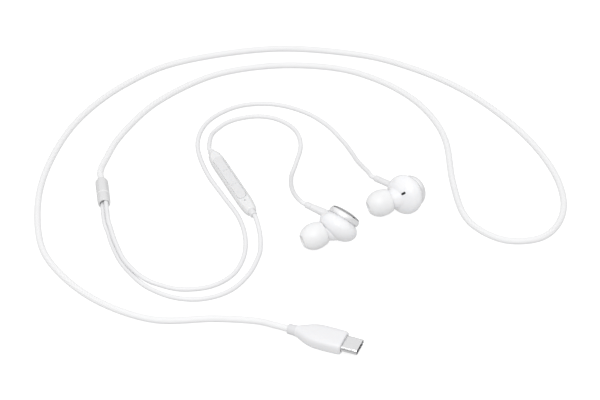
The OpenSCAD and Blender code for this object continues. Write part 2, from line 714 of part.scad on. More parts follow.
// One key of the strip: index -1, 0 or 1 along the remote
module key(index) {
    pitch = key_length + key_gap;
    span = index == 0 ? key_length : key_length + 4;
    start = index == 0 ? -key_length / 2 : index > 0 ? pitch - key_length / 2 : -pitch - key_length / 2 - 4;
    color(soft_white) on_remote() translate([strip_shift, 0, 0]) {
        intersection() {
            key_strip(0, key_flange_z, key_face + key_rise);
            translate([start, -remote_d, -remote_d]) cube([span, 2 * remote_d, 2 * remote_d]);
        }
        translate([index * pitch - key_length / 2 + 1, -key_flange_w / 2, key_flange_z])
            cube([key_length - 2, key_flange_w, key_flange_t]);
        translate([index * pitch, 0, key_post_z]) cylinder(d = 1.8, h = key_flange_z - key_post_z + eps);
    }
}

module remote_board() {
    board_start = microphone_x - 1.5;
    board_end = strip_shift + key_length + key_gap + 3;
    color(board_green) on_remote() translate([board_start, -1.85, board_z])
        cube([board_end - board_start, 3.7, board_t]);
}

module dome_switches() {
    color(steel) on_remote() for (i = [-1:1])
        translate([strip_shift + i * (key_length + key_gap), 0, board_z + board_t]) {
            translate([-1.5, -1.3, 0]) cube([3, 2.6, switch_base_h]);
            cylinder(d = 1.6, h = switch_top - board_z - board_t);
        }
}

module microphone() {
    color(gold) on_remote() translate([microphone_x - 1.35, -0.9, board_z + board_t]) difference() {
        cube([2.7, 1.8, 0.9]);
        translate([1.35, 0.9, 0.4]) cylinder(d = 0.5, h = 1, $fn = 24);
    }
}

module remote_boots() {
    color(soft_white) on_remote() for (s = [0, 1]) mirror([s, 0, 0])
        translate([remote_half - 2.4, 0, 0]) along_x() rotate_extrude() polygon([
            [0, 0], [remote_boot_r, 0], [remote_boot_r, 2.4], [remote_end_r - 0.3, 2.4],
            [remote_end_r - 0.4, 2.4 + remote_boot_reach - 0.3],
            [remote_end_r - 0.6, 2.4 + remote_boot_reach], [0, 2.4 + remote_boot_reach]
        ]);
}

// ---------- splitter ----------

module splitter_core() {
    r = neck_d / 2;
    color(soft_white) on_splitter() along_x() rotate_extrude() polygon([
        [0, -splitter_length - neck_length], [r - 0.4, -splitter_length - neck_length],
        [r, -splitter_length - neck_length + 0.4], [r, -splitter_length],
        [core_r, -splitter_length], [core_r, 0], [0, 0]
    ]);
}

module splitter_sleeve() {
    r = splitter_d / 2;
    bore = core_r + fit;
    color(gloss_white) on_splitter() along_x() rotate_extrude() polygon(concat(
        [[bore, -splitter_length]],
        arc_pts(r - 0.4, -splitter_length + 0.4, 0.4, 0.4, -90, 0, 4),
        [[r, -0.15], [r - 0.15, 0], [bore, 0]]
    ));
}

module chin_slider() {
    r = splitter_d / 2;
    hole = ear_cord_d + 2 * slider_play;
    color(gloss_white) on_splitter() translate([seam_gap, 0, 0]) difference() {
        along_x() rotate_extrude() polygon(concat(
            [[0, 0], [r - 0.15, 0], [r, 0.15], [r, slider_length - 3]],
            arc_pts(r - 0.3, slider_length - 3, 0.3, 3, 0, 90, 6),
            [[0, slider_length]]
        ));
        rotate([0, 90, 0]) translate([0, 0, -1]) linear_extrude(slider_length + 2)
            rotate(90 + pair_roll) stadium(cord_pitch + hole, hole);
        translate([slider_length - 2.2, 0, 0]) along_x()
            cylinder(r1 = hole / 2, r2 = r - 0.75, h = 2.2 + eps);
    }
}

// ---------- plug ----------

// Sections of the grip, from its boot to its front face: place, half width, half height and squareness
function grip_sections() = let (w = grip_width, h = grip_height, r = grip_boot_d / 2, l = grip_length) [
    [-l, r - 0.2, r - 0.2, 2], [-l + 0.25, r, r, 2], [-l + 0.08 * l, r + 0.02, r + 0.02, 2],
    [-l + 0.16 * l, 0.2 * w, 0.37 * h, 2.1], [-l + 0.23 * l, 0.27 * w, 0.41 * h, 2.3],
    [-l + 0.3 * l, 0.345 * w, 0.445 * h, 2.5], [-l + 0.37 * l, 0.41 * w, 0.47 * h, 2.8],
    [-l + 0.45 * l, 0.462 * w, 0.49 * h, 3], [-l + 0.54 * l, 0.492 * w, 0.5 * h, 3.2],
    [-0.25 * l, 0.5 * w, 0.5 * h, 3.3], [-0.05 * l, 0.487 * w, 0.49 * h, 3.3],
    [-0.4, 0.475 * w, 0.475 * h, 3.2], [0, 0.45 * w, 0.44 * h, 3]
];
function squircle(v, e) = sign(v) * pow(abs(v), 2 / e);
function grip_ring(s) = [
    for (k = [0:35]) [s[0], s[1] * squircle(cos(10 * k + 5), s[3]), s[2] * squircle(sin(10 * k + 5), s[3])]
];

module plug_grip() {
    pocket = shell_buried + plug_board_length;
    color(soft_white) on_plug() difference() {
        skin([for (s = grip_sections()) grip_ring(s)]);
        translate([-grip_length - 1, -grip_width, -grip_height - plug_axis_h])
            cube([grip_length + 2, 2 * grip_width, grip_height]);
        translate([-shell_buried, 0, 0]) shell_block(shell_width, shell_height, shell_buried + 1);
        translate([-pocket - fit, -plug_board_width / 2 - fit, -plug_board_t / 2 - fit])
            cube([plug_board_length + fit, plug_board_width + 2 * fit, plug_board_t + 2 * fit]);
        translate([-pocket + 1.5 - fit, -1.5 - fit, plug_board_t / 2])
            cube([3 + 2 * fit, 3 + 2 * fit, 0.85 + fit]);
    }
}

module shell_block(width, height, length) {
    along_x() linear_extrude(length) rotate(90) stadium(width, height);
}

module plug_shell() {
    total = shell_reach + shell_buried;
    color(steel) on_plug() translate([-shell_buried, 0, 0]) difference() {
        shell_block(shell_width, shell_height, total);
        translate([-1, 0, 0])
            shell_block(shell_width - 2 * shell_wall, shell_height - 2 * shell_wall, total + 2);
    }
}

module plug_insulator() {
    inset = 2 * (shell_wall + 0.02);
    mouth = insulator_length - shell_buried - slot_depth;
    color(black) on_plug() difference() {
        translate([-shell_buried, 0, 0])
            shell_block(shell_width - inset, shell_height - inset, insulator_length);
        translate([mouth, -slot_width / 2, -slot_height / 2])
            cube([slot_depth + 1, slot_width, slot_height]);
    }
}

module plug_contacts() {
    mouth = insulator_length - shell_buried - slot_depth;
    first = -(contact_count - 1) * contact_pitch / 2;
    color(gold) on_plug() for (row = [-1, 1]) for (i = [0:contact_count - 1])
        translate([mouth + 0.3, first + i * contact_pitch - contact_w / 2,
                row * (slot_height - contact_t) / 2 - contact_t / 2])
            cube([slot_depth - 1, contact_w, contact_t]);
}

module plug_latches() {
    mouth = insulator_length - shell_buried - slot_depth;
    color(steel) on_plug() for (s = [-1, 1])
        translate([mouth, s * (slot_width / 2 - 0.15) - 0.15, -0.2]) cube([slot_depth - 0.6, 0.3, 0.4]);
}

module plug_board() {
    color(board_green) on_plug() translate([-shell_buried - plug_board_length, -plug_board_width / 2,
            -plug_board_t / 2])
        cube([plug_board_length, plug_board_width, plug_board_t]);
}

module plug_chip() {
    color(black) on_plug() translate([-shell_buried - plug_board_length + 1.5, -1.5, plug_board_t / 2])
        cube([3, 3, 0.85]);
}

// ---------- cords ----------

module main_cord() {
    top = -splitter_length - neck_length;
    color(cord_white) cord(concat(
        [splitter_point(top, 0), splitter_point(top - main_cord_exit, 0)],
        laid(MAIN_ROUTE),
        [plug_point(-grip_length - main_cord_exit), plug_point(-grip_length)]
    ), main_cord_d, MAIN_RINGS);
}

module right_ear_cord() {
    color(cord_white) cord(concat(
        [for (x = [0, straight_half, 2 * straight_half]) splitter_point(x, RIGHT)],
        laid(RIGHT_ROUTE),
        [boot_point(RIGHT, boot_end + cord_exit), boot_point(RIGHT, boot_end)]
    ), ear_cord_d, RIGHT_RINGS);
}

module left_lower_cord() {
    color(cord_white) cord(concat(
        [for (x = [0, straight_half, 2 * straight_half]) splitter_point(x, LEFT)],
        laid(LEFT_LOWER_ROUTE),
        [remote_point(-remote_end - cord_exit), remote_point(-remote_end)]
    ), ear_cord_d, LEFT_LOWER_RINGS);
}

module left_upper_cord() {
    color(cord_white) cord(concat(
        [remote_point(remote_end), remote_point(remote_end + cord_exit)],
        laid(LEFT_UPPER_ROUTE),
        [boot_point(LEFT, boot_end + cord_exit), boot_point(LEFT, boot_end)]
    ), ear_cord_d, LEFT_UPPER_RINGS);
}

front_housing(LEFT);  // left_front_housing
rear_housing(LEFT);  // left_rear_housing
bezel(LEFT);  // left_bezel
rear_cap(LEFT);  // left_rear_cap
nozzle_mesh(LEFT);  // left_nozzle_mesh
vent_mesh(LEFT);  // left_vent_mesh
ear_tip(LEFT);  // left_ear_tip
cable_boot(LEFT);  // left_cable_boot
driver_can(LEFT);  // left_driver_can
driver_magnet(LEFT);  // left_driver_magnet
pole_plate(LEFT);  // left_pole_plate
voice_coil(LEFT);  // left_voice_coil
diaphragm(LEFT);  // left_diaphragm
terminal_board(LEFT);  // left_terminal_board
front_housing(RIGHT);  // right_front_housing
rear_housing(RIGHT);  // right_rear_housing
bezel(RIGHT);  // right_bezel
rear_cap(RIGHT);  // right_rear_cap
nozzle_mesh(RIGHT);  // right_nozzle_mesh
vent_mesh(RIGHT);  // right_vent_mesh
ear_tip(RIGHT);  // right_ear_tip
cable_boot(RIGHT);  // right_cable_boot
driver_can(RIGHT);  // right_driver_can
driver_magnet(RIGHT);  // right_driver_magnet
pole_plate(RIGHT);  // right_pole_plate
voice_coil(RIGHT);  // right_voice_coil
diaphragm(RIGHT);  // right_diaphragm
terminal_board(RIGHT);  // right_terminal_board
remote_front_cover();
remote_rear_cover();
key(1);  // volume_up_key
key(0);  // play_key
key(-1);  // volume_down_key
remote_board();
dome_switches();
microphone();
remote_boots();
splitter_core();
splitter_sleeve();
chin_slider();
plug_grip();
plug_shell();
plug_insulator();
plug_contacts();
plug_latches();
plug_board();
plug_chip();
main_cord();
right_ear_cord();
left_lower_cord();
left_upper_cord();
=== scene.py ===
"""White wired earphones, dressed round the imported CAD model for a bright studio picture.

Lengths are millimetres, as in the CAD source, and become metres where a mesh is made. Only the
camera, the stage, the light and the depths in materials are in metres from the start.
"""

import json
import math

import bmesh
import bpy
import numpy as np
from mathutils import Matrix, Vector


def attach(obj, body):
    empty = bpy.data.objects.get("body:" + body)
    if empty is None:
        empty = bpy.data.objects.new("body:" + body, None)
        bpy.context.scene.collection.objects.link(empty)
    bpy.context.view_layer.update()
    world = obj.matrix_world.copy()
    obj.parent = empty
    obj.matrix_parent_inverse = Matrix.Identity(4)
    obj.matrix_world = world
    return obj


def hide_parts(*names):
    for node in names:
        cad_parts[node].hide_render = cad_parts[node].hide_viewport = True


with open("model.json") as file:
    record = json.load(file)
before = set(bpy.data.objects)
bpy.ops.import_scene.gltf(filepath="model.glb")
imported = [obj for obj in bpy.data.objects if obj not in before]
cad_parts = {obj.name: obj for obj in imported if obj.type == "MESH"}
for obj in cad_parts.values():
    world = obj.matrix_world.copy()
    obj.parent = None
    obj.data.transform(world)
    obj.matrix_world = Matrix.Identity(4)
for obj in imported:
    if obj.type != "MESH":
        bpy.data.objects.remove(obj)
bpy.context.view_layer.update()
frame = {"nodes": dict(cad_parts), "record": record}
ROOT = "earphones"
MM = 0.001

# ---------- sizes, as the CAD source has them ----------

HOUSING_R = 8.4
SHOULDER_H = 3.3
RIM_R = 6.3
SHOULDER_DEPTH = SHOULDER_H / math.sqrt(1 - (RIM_R / HOUSING_R) ** 2)
REAR_R = 6.0
REAR_TOP = 5.6
BEZEL_R = 6.8
BEZEL_BASE = 3.65
BEZEL_TOP = 5.9
CROWN_R = 6.3
CAP_R = 5.6
CAP_CROWN = 1.5

NOZZLE_ANGLE = 37
NOZZLE_REACH = 13
NOZZLE_LIP_R = 2.8
TIP_R = 5.6
TIP_LENGTH = 9.9
TIP_RIM = 6.5
TIP_FRONT = TIP_RIM + TIP_LENGTH
TIP_WIDE = TIP_RIM + 0.45 * TIP_LENGTH
TIP_TAPER = 0.16
TIP_PLAY = 0.05
MOUTH_R = 2.1
SKIRT_T = 0.6
SLEEVE_T = 0.7

BOOT_R = 1.4
BOOT_CORE_R = 1
BOOT_LENGTH = 8.3
BOOT_FLARE = 3.44
BOOT_AZIMUTH = 34.5
BOOT_LEAN = 3.2
BOOT_AXIS_H = 2
BOOT_END = HOUSING_R + BOOT_LENGTH
COLLAR_LENGTH = 2.2

MAIN_CORD_D = 2.8
EAR_CORD_D = 1.9
CORD_PITCH = 2.1
PAIR_ROLL = 43

SPLITTER_R = 2.7
SPLITTER_LENGTH = 8.9
NECK_LENGTH = 1.6
SLIDER_LENGTH = 5.8
SLIDER_TRAVEL = 10
SEAM_GAP = 0.25

REMOTE_R = 3.15
REMOTE_LENGTH = 43
REMOTE_BOOT_REACH = 2.4
REMOTE_END = REMOTE_LENGTH / 2 + REMOTE_BOOT_REACH
KEY_FACE = 2.35
KEY_RISE = 0.3
KEY_LENGTH = 10
KEY_WIDTH = 3.8
KEY_GAP = 0.12
STRIP_SHIFT = 1.2
STRIP_HALF = 1.5 * KEY_LENGTH + KEY_GAP

GRIP_LENGTH = 23.6
GRIP_WIDTH = 11.2
GRIP_HEIGHT = 6.1
GRIP_FLAT = 0.15
GRIP_END_R = 2.05
SHELL_WIDTH = 8.34
SHELL_HEIGHT = 2.56
SHELL_REACH = 6.65
SHELL_WALL = 0.3
SHELL_BURIED = 3

# ---------- places, as the CAD source has them ----------

LAYOUT_SHIFT = Vector((-0.1, -2.29, 0))
# The earbuds are mirror images of each other: each side's sign for what is mirrored
SIDES = {"left": -1, "right": 1}
BUD_AT = {"left": (-10.3, -8.92, 7.355), "right": (17.59, 11.19, 8.275)}
BUD_TURN = {"left": (38.5, -36.4, 174.5), "right": (105, 33.7, 148.2)}
REMOTE_AT = (-54.6, 25.7, REMOTE_R)
REMOTE_HEADING = 113.4
REMOTE_ROLL = -16
SPLITTER_AT = (-108.55, 17.9, SPLITTER_R)
SPLITTER_HEADING = -82.5
PLUG_AT = (-8.7, -76.7, GRIP_HEIGHT / 2 - GRIP_FLAT)
PLUG_HEADING = -21.8


def turned(turn):
    """A turn about x, then y, then z, in degrees."""
    x, y, z = (math.radians(a) for a in turn)
    return Matrix.Rotation(z, 4, "Z") @ Matrix.Rotation(y, 4, "Y") @ Matrix.Rotation(x, 4, "X")


def placed(origin, turn):
    """The frame of a piece that the layout puts at origin with that turn."""
    return Matrix.Translation(LAYOUT_SHIFT + Vector(origin)) @ turned(turn)


def point_in(matrix, x, y=0.0, z=0.0):
    """The place of a point that is given in matrix's frame."""
    return matrix @ Vector((x, y, z))


BUD = {side: placed(BUD_AT[side], BUD_TURN[side]) for side in SIDES}
NOZZLE = {side: BUD[side] @ turned((0, 180 - NOZZLE_ANGLE, 0)) for side in SIDES}
BOOT = {
    side: BUD[side]
    @ Matrix.Translation((0, 0, BOOT_AXIS_H))
    @ turned((0, 90 + BOOT_LEAN, sign * BOOT_AZIMUTH))
    for side, sign in SIDES.items()
}
REMOTE = placed(REMOTE_AT, (REMOTE_ROLL, 0, REMOTE_HEADING))
# The remote's place without its roll, for the cords that go into it
REMOTE_LINE = placed(REMOTE_AT, (0, 0, REMOTE_HEADING))
SPLITTER = placed(SPLITTER_AT, (0, 0, SPLITTER_HEADING))
PLUG = placed(PLUG_AT, (0, 0, PLUG_HEADING))

# ---------- cord routes, as the CAD source has them ----------

MAIN_ROUTE = [
    (-109.1, 43.8, 1.8), (-103.6, 61.5, 1.4), (-90.3, 84.5, 1.4), (-70.7, 102.8, 1.4),
    (-52.9, 111.2, 1.4), (-31, 114.5, 1.4), (-8, 111.6, 1.4), (9.8, 102.2, 1.4),
    (23.5, 88.9, 1.4), (32.4, 73.3, 1.4), (37.1, 55.9, 1.4), (38.5, 29.8, 1.4),
    (41.8, 7.9, 1.4), (48.2, -3.6, 1.4), (59, -10.7, 1.4), (72, -9.6, 1.4),
    (80.3, -1.1, 1.4), (84.4, 13.9, 1.4), (82.3, 33.8, 1.4), (74.2, 55.9, 1.4),
    (61.2, 77.5, 1.4), (44.9, 96.6, 1.4), (23.8, 112.4, 1.4), (-0.1, 122.9, 1.4),
    (-38, 127.4, 1.4), (-79.5, 117.2, 1.4), (-103.3, 100, 1.4), (-121, 76.3, 1.4),
    (-131.2, 49.6, 1.4), (-135.7, 19.9, 1.4), (-132.7, -11.9, 1.4), (-123.1, -32.1, 1.4),
    (-106.2, -49.8, 1.4), (-84, -60.7, 1.4), (-60, -60.1, 1.4), (-44, -61.4, 1.4),
]
RIGHT_ROUTE = [
    (-104, -5.1, 2.9), (-101.9, -12.9, 2.65), (-98.1, -23.7, 2.65), (-93.5, -31.4, 2.75),
    (-88.9, -35.9, 2.1), (-83.6, -38.2, 0.95), (-74, -41.5, 0.95), (-62.2, -39.8, 0.95),
    (-53.3, -32.4, 0.95), (-49, -20.8, 0.95), (-48.6, -8, 0.95), (-51.6, 5.3, 0.95),
    (-58.5, 20, 0.95), (-65.6, 35.5, 0.95), (-70, 52.8, 0.95), (-68.7, 66.4, 0.95),
    (-62.8, 76.6, 0.95), (-52, 84.1, 0.95), (-38, 85.3, 0.95), (-25, 80, 0.95),
    (-15.1, 70.8, 0.95), (-7.8, 58.7, 0.95), (-4, 48.9, 2), (-1.7, 40.3, 3.9),
    (0.8, 33, 5.9), (2.8, 27.8, 7.2),
]
LEFT_LOWER_ROUTE = [
    (-105.2, -5.5, 1.3), (-103.6, -11.7, 0.95), (-99.6, -22.9, 0.95), (-94.9, -31.1, 0.95),
    (-88, -39.7, 0.95), (-77, -46.4, 0.95), (-65.1, -47.5, 0.95), (-54.2, -42.4, 0.95),
    (-46.8, -32.1, 0.95), (-42.8, -20, 0.95), (-42.2, -12.5, 1.1), (-42.7, -5.6, 2),
]
LEFT_UPPER_ROUTE = [
    (-65, 53.1, 2.8), (-64.5, 60, 2.1), (-62.6, 65.7, 1.1), (-57.7, 71.7, 0.95),
    (-51, 75.1, 0.95), (-43, 76.2, 0.95), (-34.9, 73.4, 0.95), (-28.1, 66, 0.95),
    (-25.7, 55, 0.95), (-27.6, 42.9, 0.95), (-29.5, 33.5, 1.6), (-29.8, 26.6, 3.7),
    (-29.6, 19.3, 6.2), (-28.7, 11.9, 8.8), (-27.1, 5.6, 10.8),
]
LINE_STEP = 0.5
EAR_CORD_EXIT = 2
MAIN_CORD_EXIT = 6
STRAIGHT_SPARE = 2
# Half of the straight stretch that the slider runs on
STRAIGHT_HALF = (SLIDER_LENGTH + SLIDER_TRAVEL + STRAIGHT_SPARE) / 2


def curve_point(a, b, c, d, t):
    """The point at t, from 0 to 1, between b and c on the smooth curve through a, b, c and d."""
    square, cube = a - 2.5 * b + 2 * c - d / 2, (d - a) / 2 + 1.5 * (b - c)
    return b + t * (c - a) / 2 + t**2 * square + t**3 * cube


def with_outer_knots(knots):
    """The knots with one more straight on at each end, which the curve needs to start and end."""
    return np.vstack([2 * knots[0] - knots[1], knots, 2 * knots[-1] - knots[-2]])


def smooth_line(knots):
    """Points about LINE_STEP apart on the smooth curve through the knots."""
    p = with_outer_knots(np.array([tuple(k) for k in knots]))
    line = []
    for a, b, c, d in zip(p, p[1:], p[2:], p[3:]):
        count = max(2, math.ceil(np.linalg.norm(c - b) / LINE_STEP))
        line.append(curve_point(a, b, c, d, (np.arange(count) / count)[:, None]))
    return np.vstack(line + [p[-2:-1]])


def line_places(line):
    """How far along the line each of its points is."""
    return np.concatenate([[0], np.cumsum(np.linalg.norm(np.diff(line, axis=0), axis=1))])


def even(line, step):
    """The same line with its points an even distance apart, and how far along it each one is."""
    along = line_places(line)
    places = np.linspace(0, along[-1], max(2, round(along[-1] / step)) + 1)
    return np.column_stack([np.interp(places, along, line[:, k]) for k in range(3)]), places


def laid(route):
    """A route's points where the layout puts them."""
    return [Vector(p) + LAYOUT_SHIFT for p in route]


def side_by_side(sign):
    """The straight start of one of the two ear cords, which run as a pair, the right one higher."""
    roll = math.radians(PAIR_ROLL)
    y, z = (sign * CORD_PITCH / 2 * part for part in (math.cos(roll), math.sin(roll)))
    return [point_in(SPLITTER, x, y, z) for x in (0, STRAIGHT_HALF, 2 * STRAIGHT_HALF)]


def into_boot(side):
    """The last two points of an ear cord, on the axis of the boot that it goes into."""
    return [point_in(BOOT[side], 0, 0, BOOT_END + out) for out in (EAR_CORD_EXIT, 0)]


# Each line starts where its cord leaves an earbud, the remote or the splitter
MAIN_LINE = smooth_line(
    [point_in(SPLITTER, -SPLITTER_LENGTH - NECK_LENGTH - out) for out in (0, MAIN_CORD_EXIT)]
    + laid(MAIN_ROUTE)
    + [point_in(PLUG, -GRIP_LENGTH - out) for out in (MAIN_CORD_EXIT, 0)]
)
RIGHT_LINE = smooth_line(side_by_side(1) + laid(RIGHT_ROUTE) + into_boot("right"))[::-1]
LEFT_LOWER_LINE = smooth_line(
    side_by_side(-1)
    + laid(LEFT_LOWER_ROUTE)
    + [point_in(REMOTE_LINE, -REMOTE_END - out) for out in (EAR_CORD_EXIT, 0)]
)[::-1]
LEFT_UPPER_LINE = smooth_line(
    [point_in(REMOTE_LINE, REMOTE_END + out) for out in (0, EAR_CORD_EXIT)]
    + laid(LEFT_UPPER_ROUTE)
    + into_boot("left")
)[::-1]

# ---------- camera ----------

# What the camera looks at, from the front
PHOTO_CENTRE = Vector((-26.1, 15.71, 0)) * MM
CAMERA_ELEVATION = math.radians(38)
CAMERA_DISTANCE = 1.1
LENS, SENSOR_WIDTH = 157.1, 36
CLIP_START, CLIP_END = 0.05, 20


def linked(name, data):
    """A new object of the scene with that data."""
    obj = bpy.data.objects.new(name, data)
    bpy.context.scene.collection.objects.link(obj)
    return obj


cam = linked("camera", bpy.data.cameras.new("camera"))
back = Vector((0, -math.cos(CAMERA_ELEVATION), math.sin(CAMERA_ELEVATION)))
cam.location = PHOTO_CENTRE + back * CAMERA_DISTANCE
cam.rotation_euler = (-back).to_track_quat("-Z", "Y").to_euler()
cam.data.lens, cam.data.sensor_width = LENS, SENSOR_WIDTH
cam.data.clip_start, cam.data.clip_end = CLIP_START, CLIP_END
bpy.context.scene.camera = cam

# ---------- mesh helpers ----------


def circle(count, start=0.0):
    """Angles evenly round a circle; start is where the first lies, in parts of a step."""
    return [2 * math.pi * (i + start) / count for i in range(count)]


def arc(cx, cy, rx, ry, a0, a1, n):
    """Points on part of an ellipse, from angle a0 to a1 in degrees."""
    return [
        (cx + rx * math.cos(a), cy + ry * math.sin(a))
        for a in (math.radians(a0 + (a1 - a0) * i / n) for i in range(n + 1))
    ]


def eased(sections, count):
    """Sections on the smooth curve through the given ones, count to a span, without facets.

    The first value of a section, its place, runs evenly between two given ones.
    """
    knots = with_outer_knots(np.array(sections, float))
    made = []
    for a, b, c, d in zip(knots, knots[1:], knots[2:], knots[3:]):
        for t in (i / count for i in range(count)):
            section = curve_point(a, b, c, d, t)
            section[0] = b[0] + t * (c[0] - b[0])
            made.append(section)
    return made + [knots[-2]]


def piece(name, verts, faces, material, slot, body=ROOT, stands_for=(), sharp=None, uvs=None):
    """A new object from points in millimetres, with its material and body. Its slot is not used."""
    mesh = bpy.data.meshes.new(name)
    mesh.from_pydata((np.asarray(verts, float) * MM).tolist(), [], faces)
    obj = linked(name, mesh)
    if uvs is not None:
        layer = mesh.uv_layers.new(name="UVMap")
        layer.data.foreach_set("uv", np.asarray(uvs, np.float32).ravel())
    made = bmesh.new()
    made.from_mesh(mesh)
    bmesh.ops.recalc_face_normals(made, faces=made.faces)
    made.to_mesh(mesh)
    made.free()
    mesh.shade_smooth()
    if sharp is not None:
        mesh.set_sharp_from_angle(angle=math.radians(sharp))
    mesh.materials.append(material)
    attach(obj, body)
    if stands_for:
        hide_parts(*stands_for)
    return obj


def lathe(name, matrix, profile, material, slot, count=128, looped=True, **kw):
    """A turned piece: profile is (radius, height) in matrix's frame, round its Z axis.

    If looped, the profile's last point is joined to its first.
    """
    verts, rows = [], []
    for r, z in profile:
        on_axis = r < 1e-6
        angles = [0.0] if on_axis else circle(count)
        rows.append(range(len(verts), len(verts) + len(angles)))
        verts += [tuple(point_in(matrix, r * math.cos(a), r * math.sin(a), z)) for a in angles]
    faces = []
    for low, high in zip(rows, [*rows[1:], rows[0]] if looped else rows[1:]):
        for i in range(count):
            j = (i + 1) % count
            if len(low) == 1:
                faces.append((low[0], high[j], high[i]))
            elif len(high) == 1:
                faces.append((low[i], low[j], high[0]))
            else:
                faces.append((low[i], low[j], high[j], high[i]))
    return piece(name, verts, faces, material, slot, **kw)


def loft(name, matrix, rings, material, slot, looped=False, **kw):
    """A skin over rings of equally many points.

    It has flat ends or, if looped, its last ring is joined to its first.
    """
    sides = len(rings[0])
    verts = [tuple(matrix @ Vector(p)) for ring in rings for p in ring]
    faces = []
    for i in range(len(rings) if looped else len(rings) - 1):
        low, high = i * sides, (i + 1) % len(rings) * sides
        for k in range(sides):
            after = (k + 1) % sides
            faces.append((low + k, low + after, high + after, high + k))
    if not looped:
        last = (len(rings) - 1) * sides
        faces += [tuple(range(sides - 1, -1, -1)), tuple(range(last, last + sides))]
    return piece(name, verts, faces, material, slot, **kw)


def carried_normals(ways):
    """A normal for each direction of a line, carried along without twist."""
    normal = np.cross(ways[0], (0, 0, 1.0))
    normal /= np.linalg.norm(normal)
    normals = []
    for way in ways:
        normal = normal - way * (normal @ way)
        normal /= np.linalg.norm(normal)
        normals.append(normal)
    return np.array(normals)


def tube(name, line, radius, material, slot, sides, step, height=None, **kw):
    """A closed tube along a line; height(angle, place) says how far its skin lies below radius.

    Its u goes once round it and its v from end to end. Returns the object with its path and length
    in metres.
    """
    centres, places = even(line, step)
    ways = np.gradient(centres, axis=0)
    ways /= np.linalg.norm(ways, axis=1)[:, None]
    normals = carried_normals(ways)
    others = np.cross(ways, normals)
    angles = 2 * math.pi * np.arange(sides) / sides
    radii = np.full((len(centres), sides), float(radius))
    if height is not None:
        radii -= height(angles[None, :], places[:, None])
    verts = (
        centres[:, None]
        + (radii * np.cos(angles))[..., None] * normals[:, None]
        + (radii * np.sin(angles))[..., None] * others[:, None]
    ).reshape(-1, 3)

    spans = len(centres) - 1
    here = np.arange(sides)
    after = (here + 1) % sides
    low = np.arange(spans)[:, None] * sides
    high = low + sides
    walls = np.stack([low + here, low + after, high + after, high + here], -1).reshape(-1, 4)
    last = spans * sides
    ends = [list(range(sides - 1, -1, -1)), list(range(last, last + sides))]

    v = places / places[-1]
    uvs = np.empty((spans, sides, 4, 2))
    uvs[..., 0] = np.stack([here, here + 1, here + 1, here], -1) / sides
    uvs[..., :2, 1] = v[:-1, None, None]
    uvs[..., 2:, 1] = v[1:, None, None]
    uvs = np.vstack([uvs.reshape(-1, 2), np.zeros((2 * sides, 2))])
    obj = piece(name, verts, walls.tolist() + ends, material, slot, uvs=uvs, **kw)
    return obj, centres * MM, places[-1] * MM


# ---------- materials ----------

# Yarn of the main cord: strands each way round, their distance along the cord, depth of the
# valleys, how much a strand sinks where it passes under, and the power that rounds its crest
BRAID_CARRIERS = 9
BRAID_PITCH = math.pi * MAIN_CORD_D / BRAID_CARRIERS
BRAID_DEPTH = 0.11
BRAID_UNDER = 0.45
BRAID_CREST = 0.7

# Grain in features a metre, and the depths of skins in metres
CLOUDS = 160
MOULD_GRAIN = 2500
RUBBER_GRAIN = 4000
CORD_GRAIN = 5000
METAL_GRAIN = 5000
SPECKLE = 6000
FIBRES = 9000
MOULD_SKIN = 0.000004
METAL_SKIN = 0.000002
YARN_SKIN = 0.00001


def nodes_of(name, base, roughness, **sockets):
    """A material with its Principled shader set; returns it with its node tree and shader."""
    made = bpy.data.materials.new(name)
    made.use_nodes = True
    shader = made.node_tree.nodes["Principled BSDF"]
    shader.inputs["Base Color"].default_value = (*base, 1)
    shader.inputs["Roughness"].default_value = roughness
    for socket, value in sockets.items():
        shader.inputs[socket.replace("_", " ")].default_value = value
    return made, made.node_tree, shader


def node(tree, kind, inputs=(), **settings):
    """A new node, each of its inputs linked to a socket or set to a value."""
    made = tree.nodes.new(kind)
    for key, value in settings.items():
        setattr(made, key, value)
    for key, value in dict(inputs).items():
        if isinstance(value, bpy.types.NodeSocket):
            tree.links.new(value, made.inputs[key])
        else:
            made.inputs[key].default_value = value
    return made


def grain(tree, scale, detail=3, stretch=(1, 1, 1)):
    """Noise in the piece's own space; scale is in features a metre."""
    where = node(tree, "ShaderNodeTexCoord").outputs["Object"]
    if stretch != (1, 1, 1):
        stretched = node(tree, "ShaderNodeMapping", {"Vector": where, "Scale": stretch})
        where = stretched.outputs["Vector"]
    noise = node(tree, "ShaderNodeTexNoise", {"Vector": where, "Scale": scale, "Detail": detail})
    return noise.outputs["Fac"]


def spread_to(tree, fac, low, high, start=0.0, end=1.0):
    """fac carried from start..end over to low..high."""
    spans = {"Value": fac, "From Min": start, "From Max": end, "To Min": low, "To Max": high}
    return node(tree, "ShaderNodeMapRange", spans).outputs["Result"]


def colour(tree, shader, fac, low, high):
    """Colour the shader from low to high as fac goes from 0 to 1."""
    # By number, because the mix node's sockets for colours and numbers have the same names
    fac_in, low_in, high_in, colour_out = 0, 6, 7, 2
    ends = {fac_in: fac, low_in: (*low, 1), high_in: (*high, 1)}
    mix = node(tree, "ShaderNodeMix", ends, data_type="RGBA")
    tree.links.new(mix.outputs[colour_out], shader.inputs["Base Color"])


def gloss(tree, shader, fac, roughness, spread):
    """Uneven gloss: roughness up or down by that part of it as fac goes from 0 to 1."""
    uneven = spread_to(tree, fac, roughness * (1 - spread), roughness * (1 + spread))
    tree.links.new(uneven, shader.inputs["Roughness"])


def bump(tree, shader, height, distance):
    """Relief of that depth, in metres, as height goes from 0 to 1."""
    relief = node(
        tree, "ShaderNodeBump", {"Height": height, "Distance": distance, "Strength": 1.0}
    )
    tree.links.new(relief.outputs["Normal"], shader.inputs["Normal"])


def darker(base, part):
    """The colour less that part of it."""
    return tuple(c * (1 - part) for c in base)


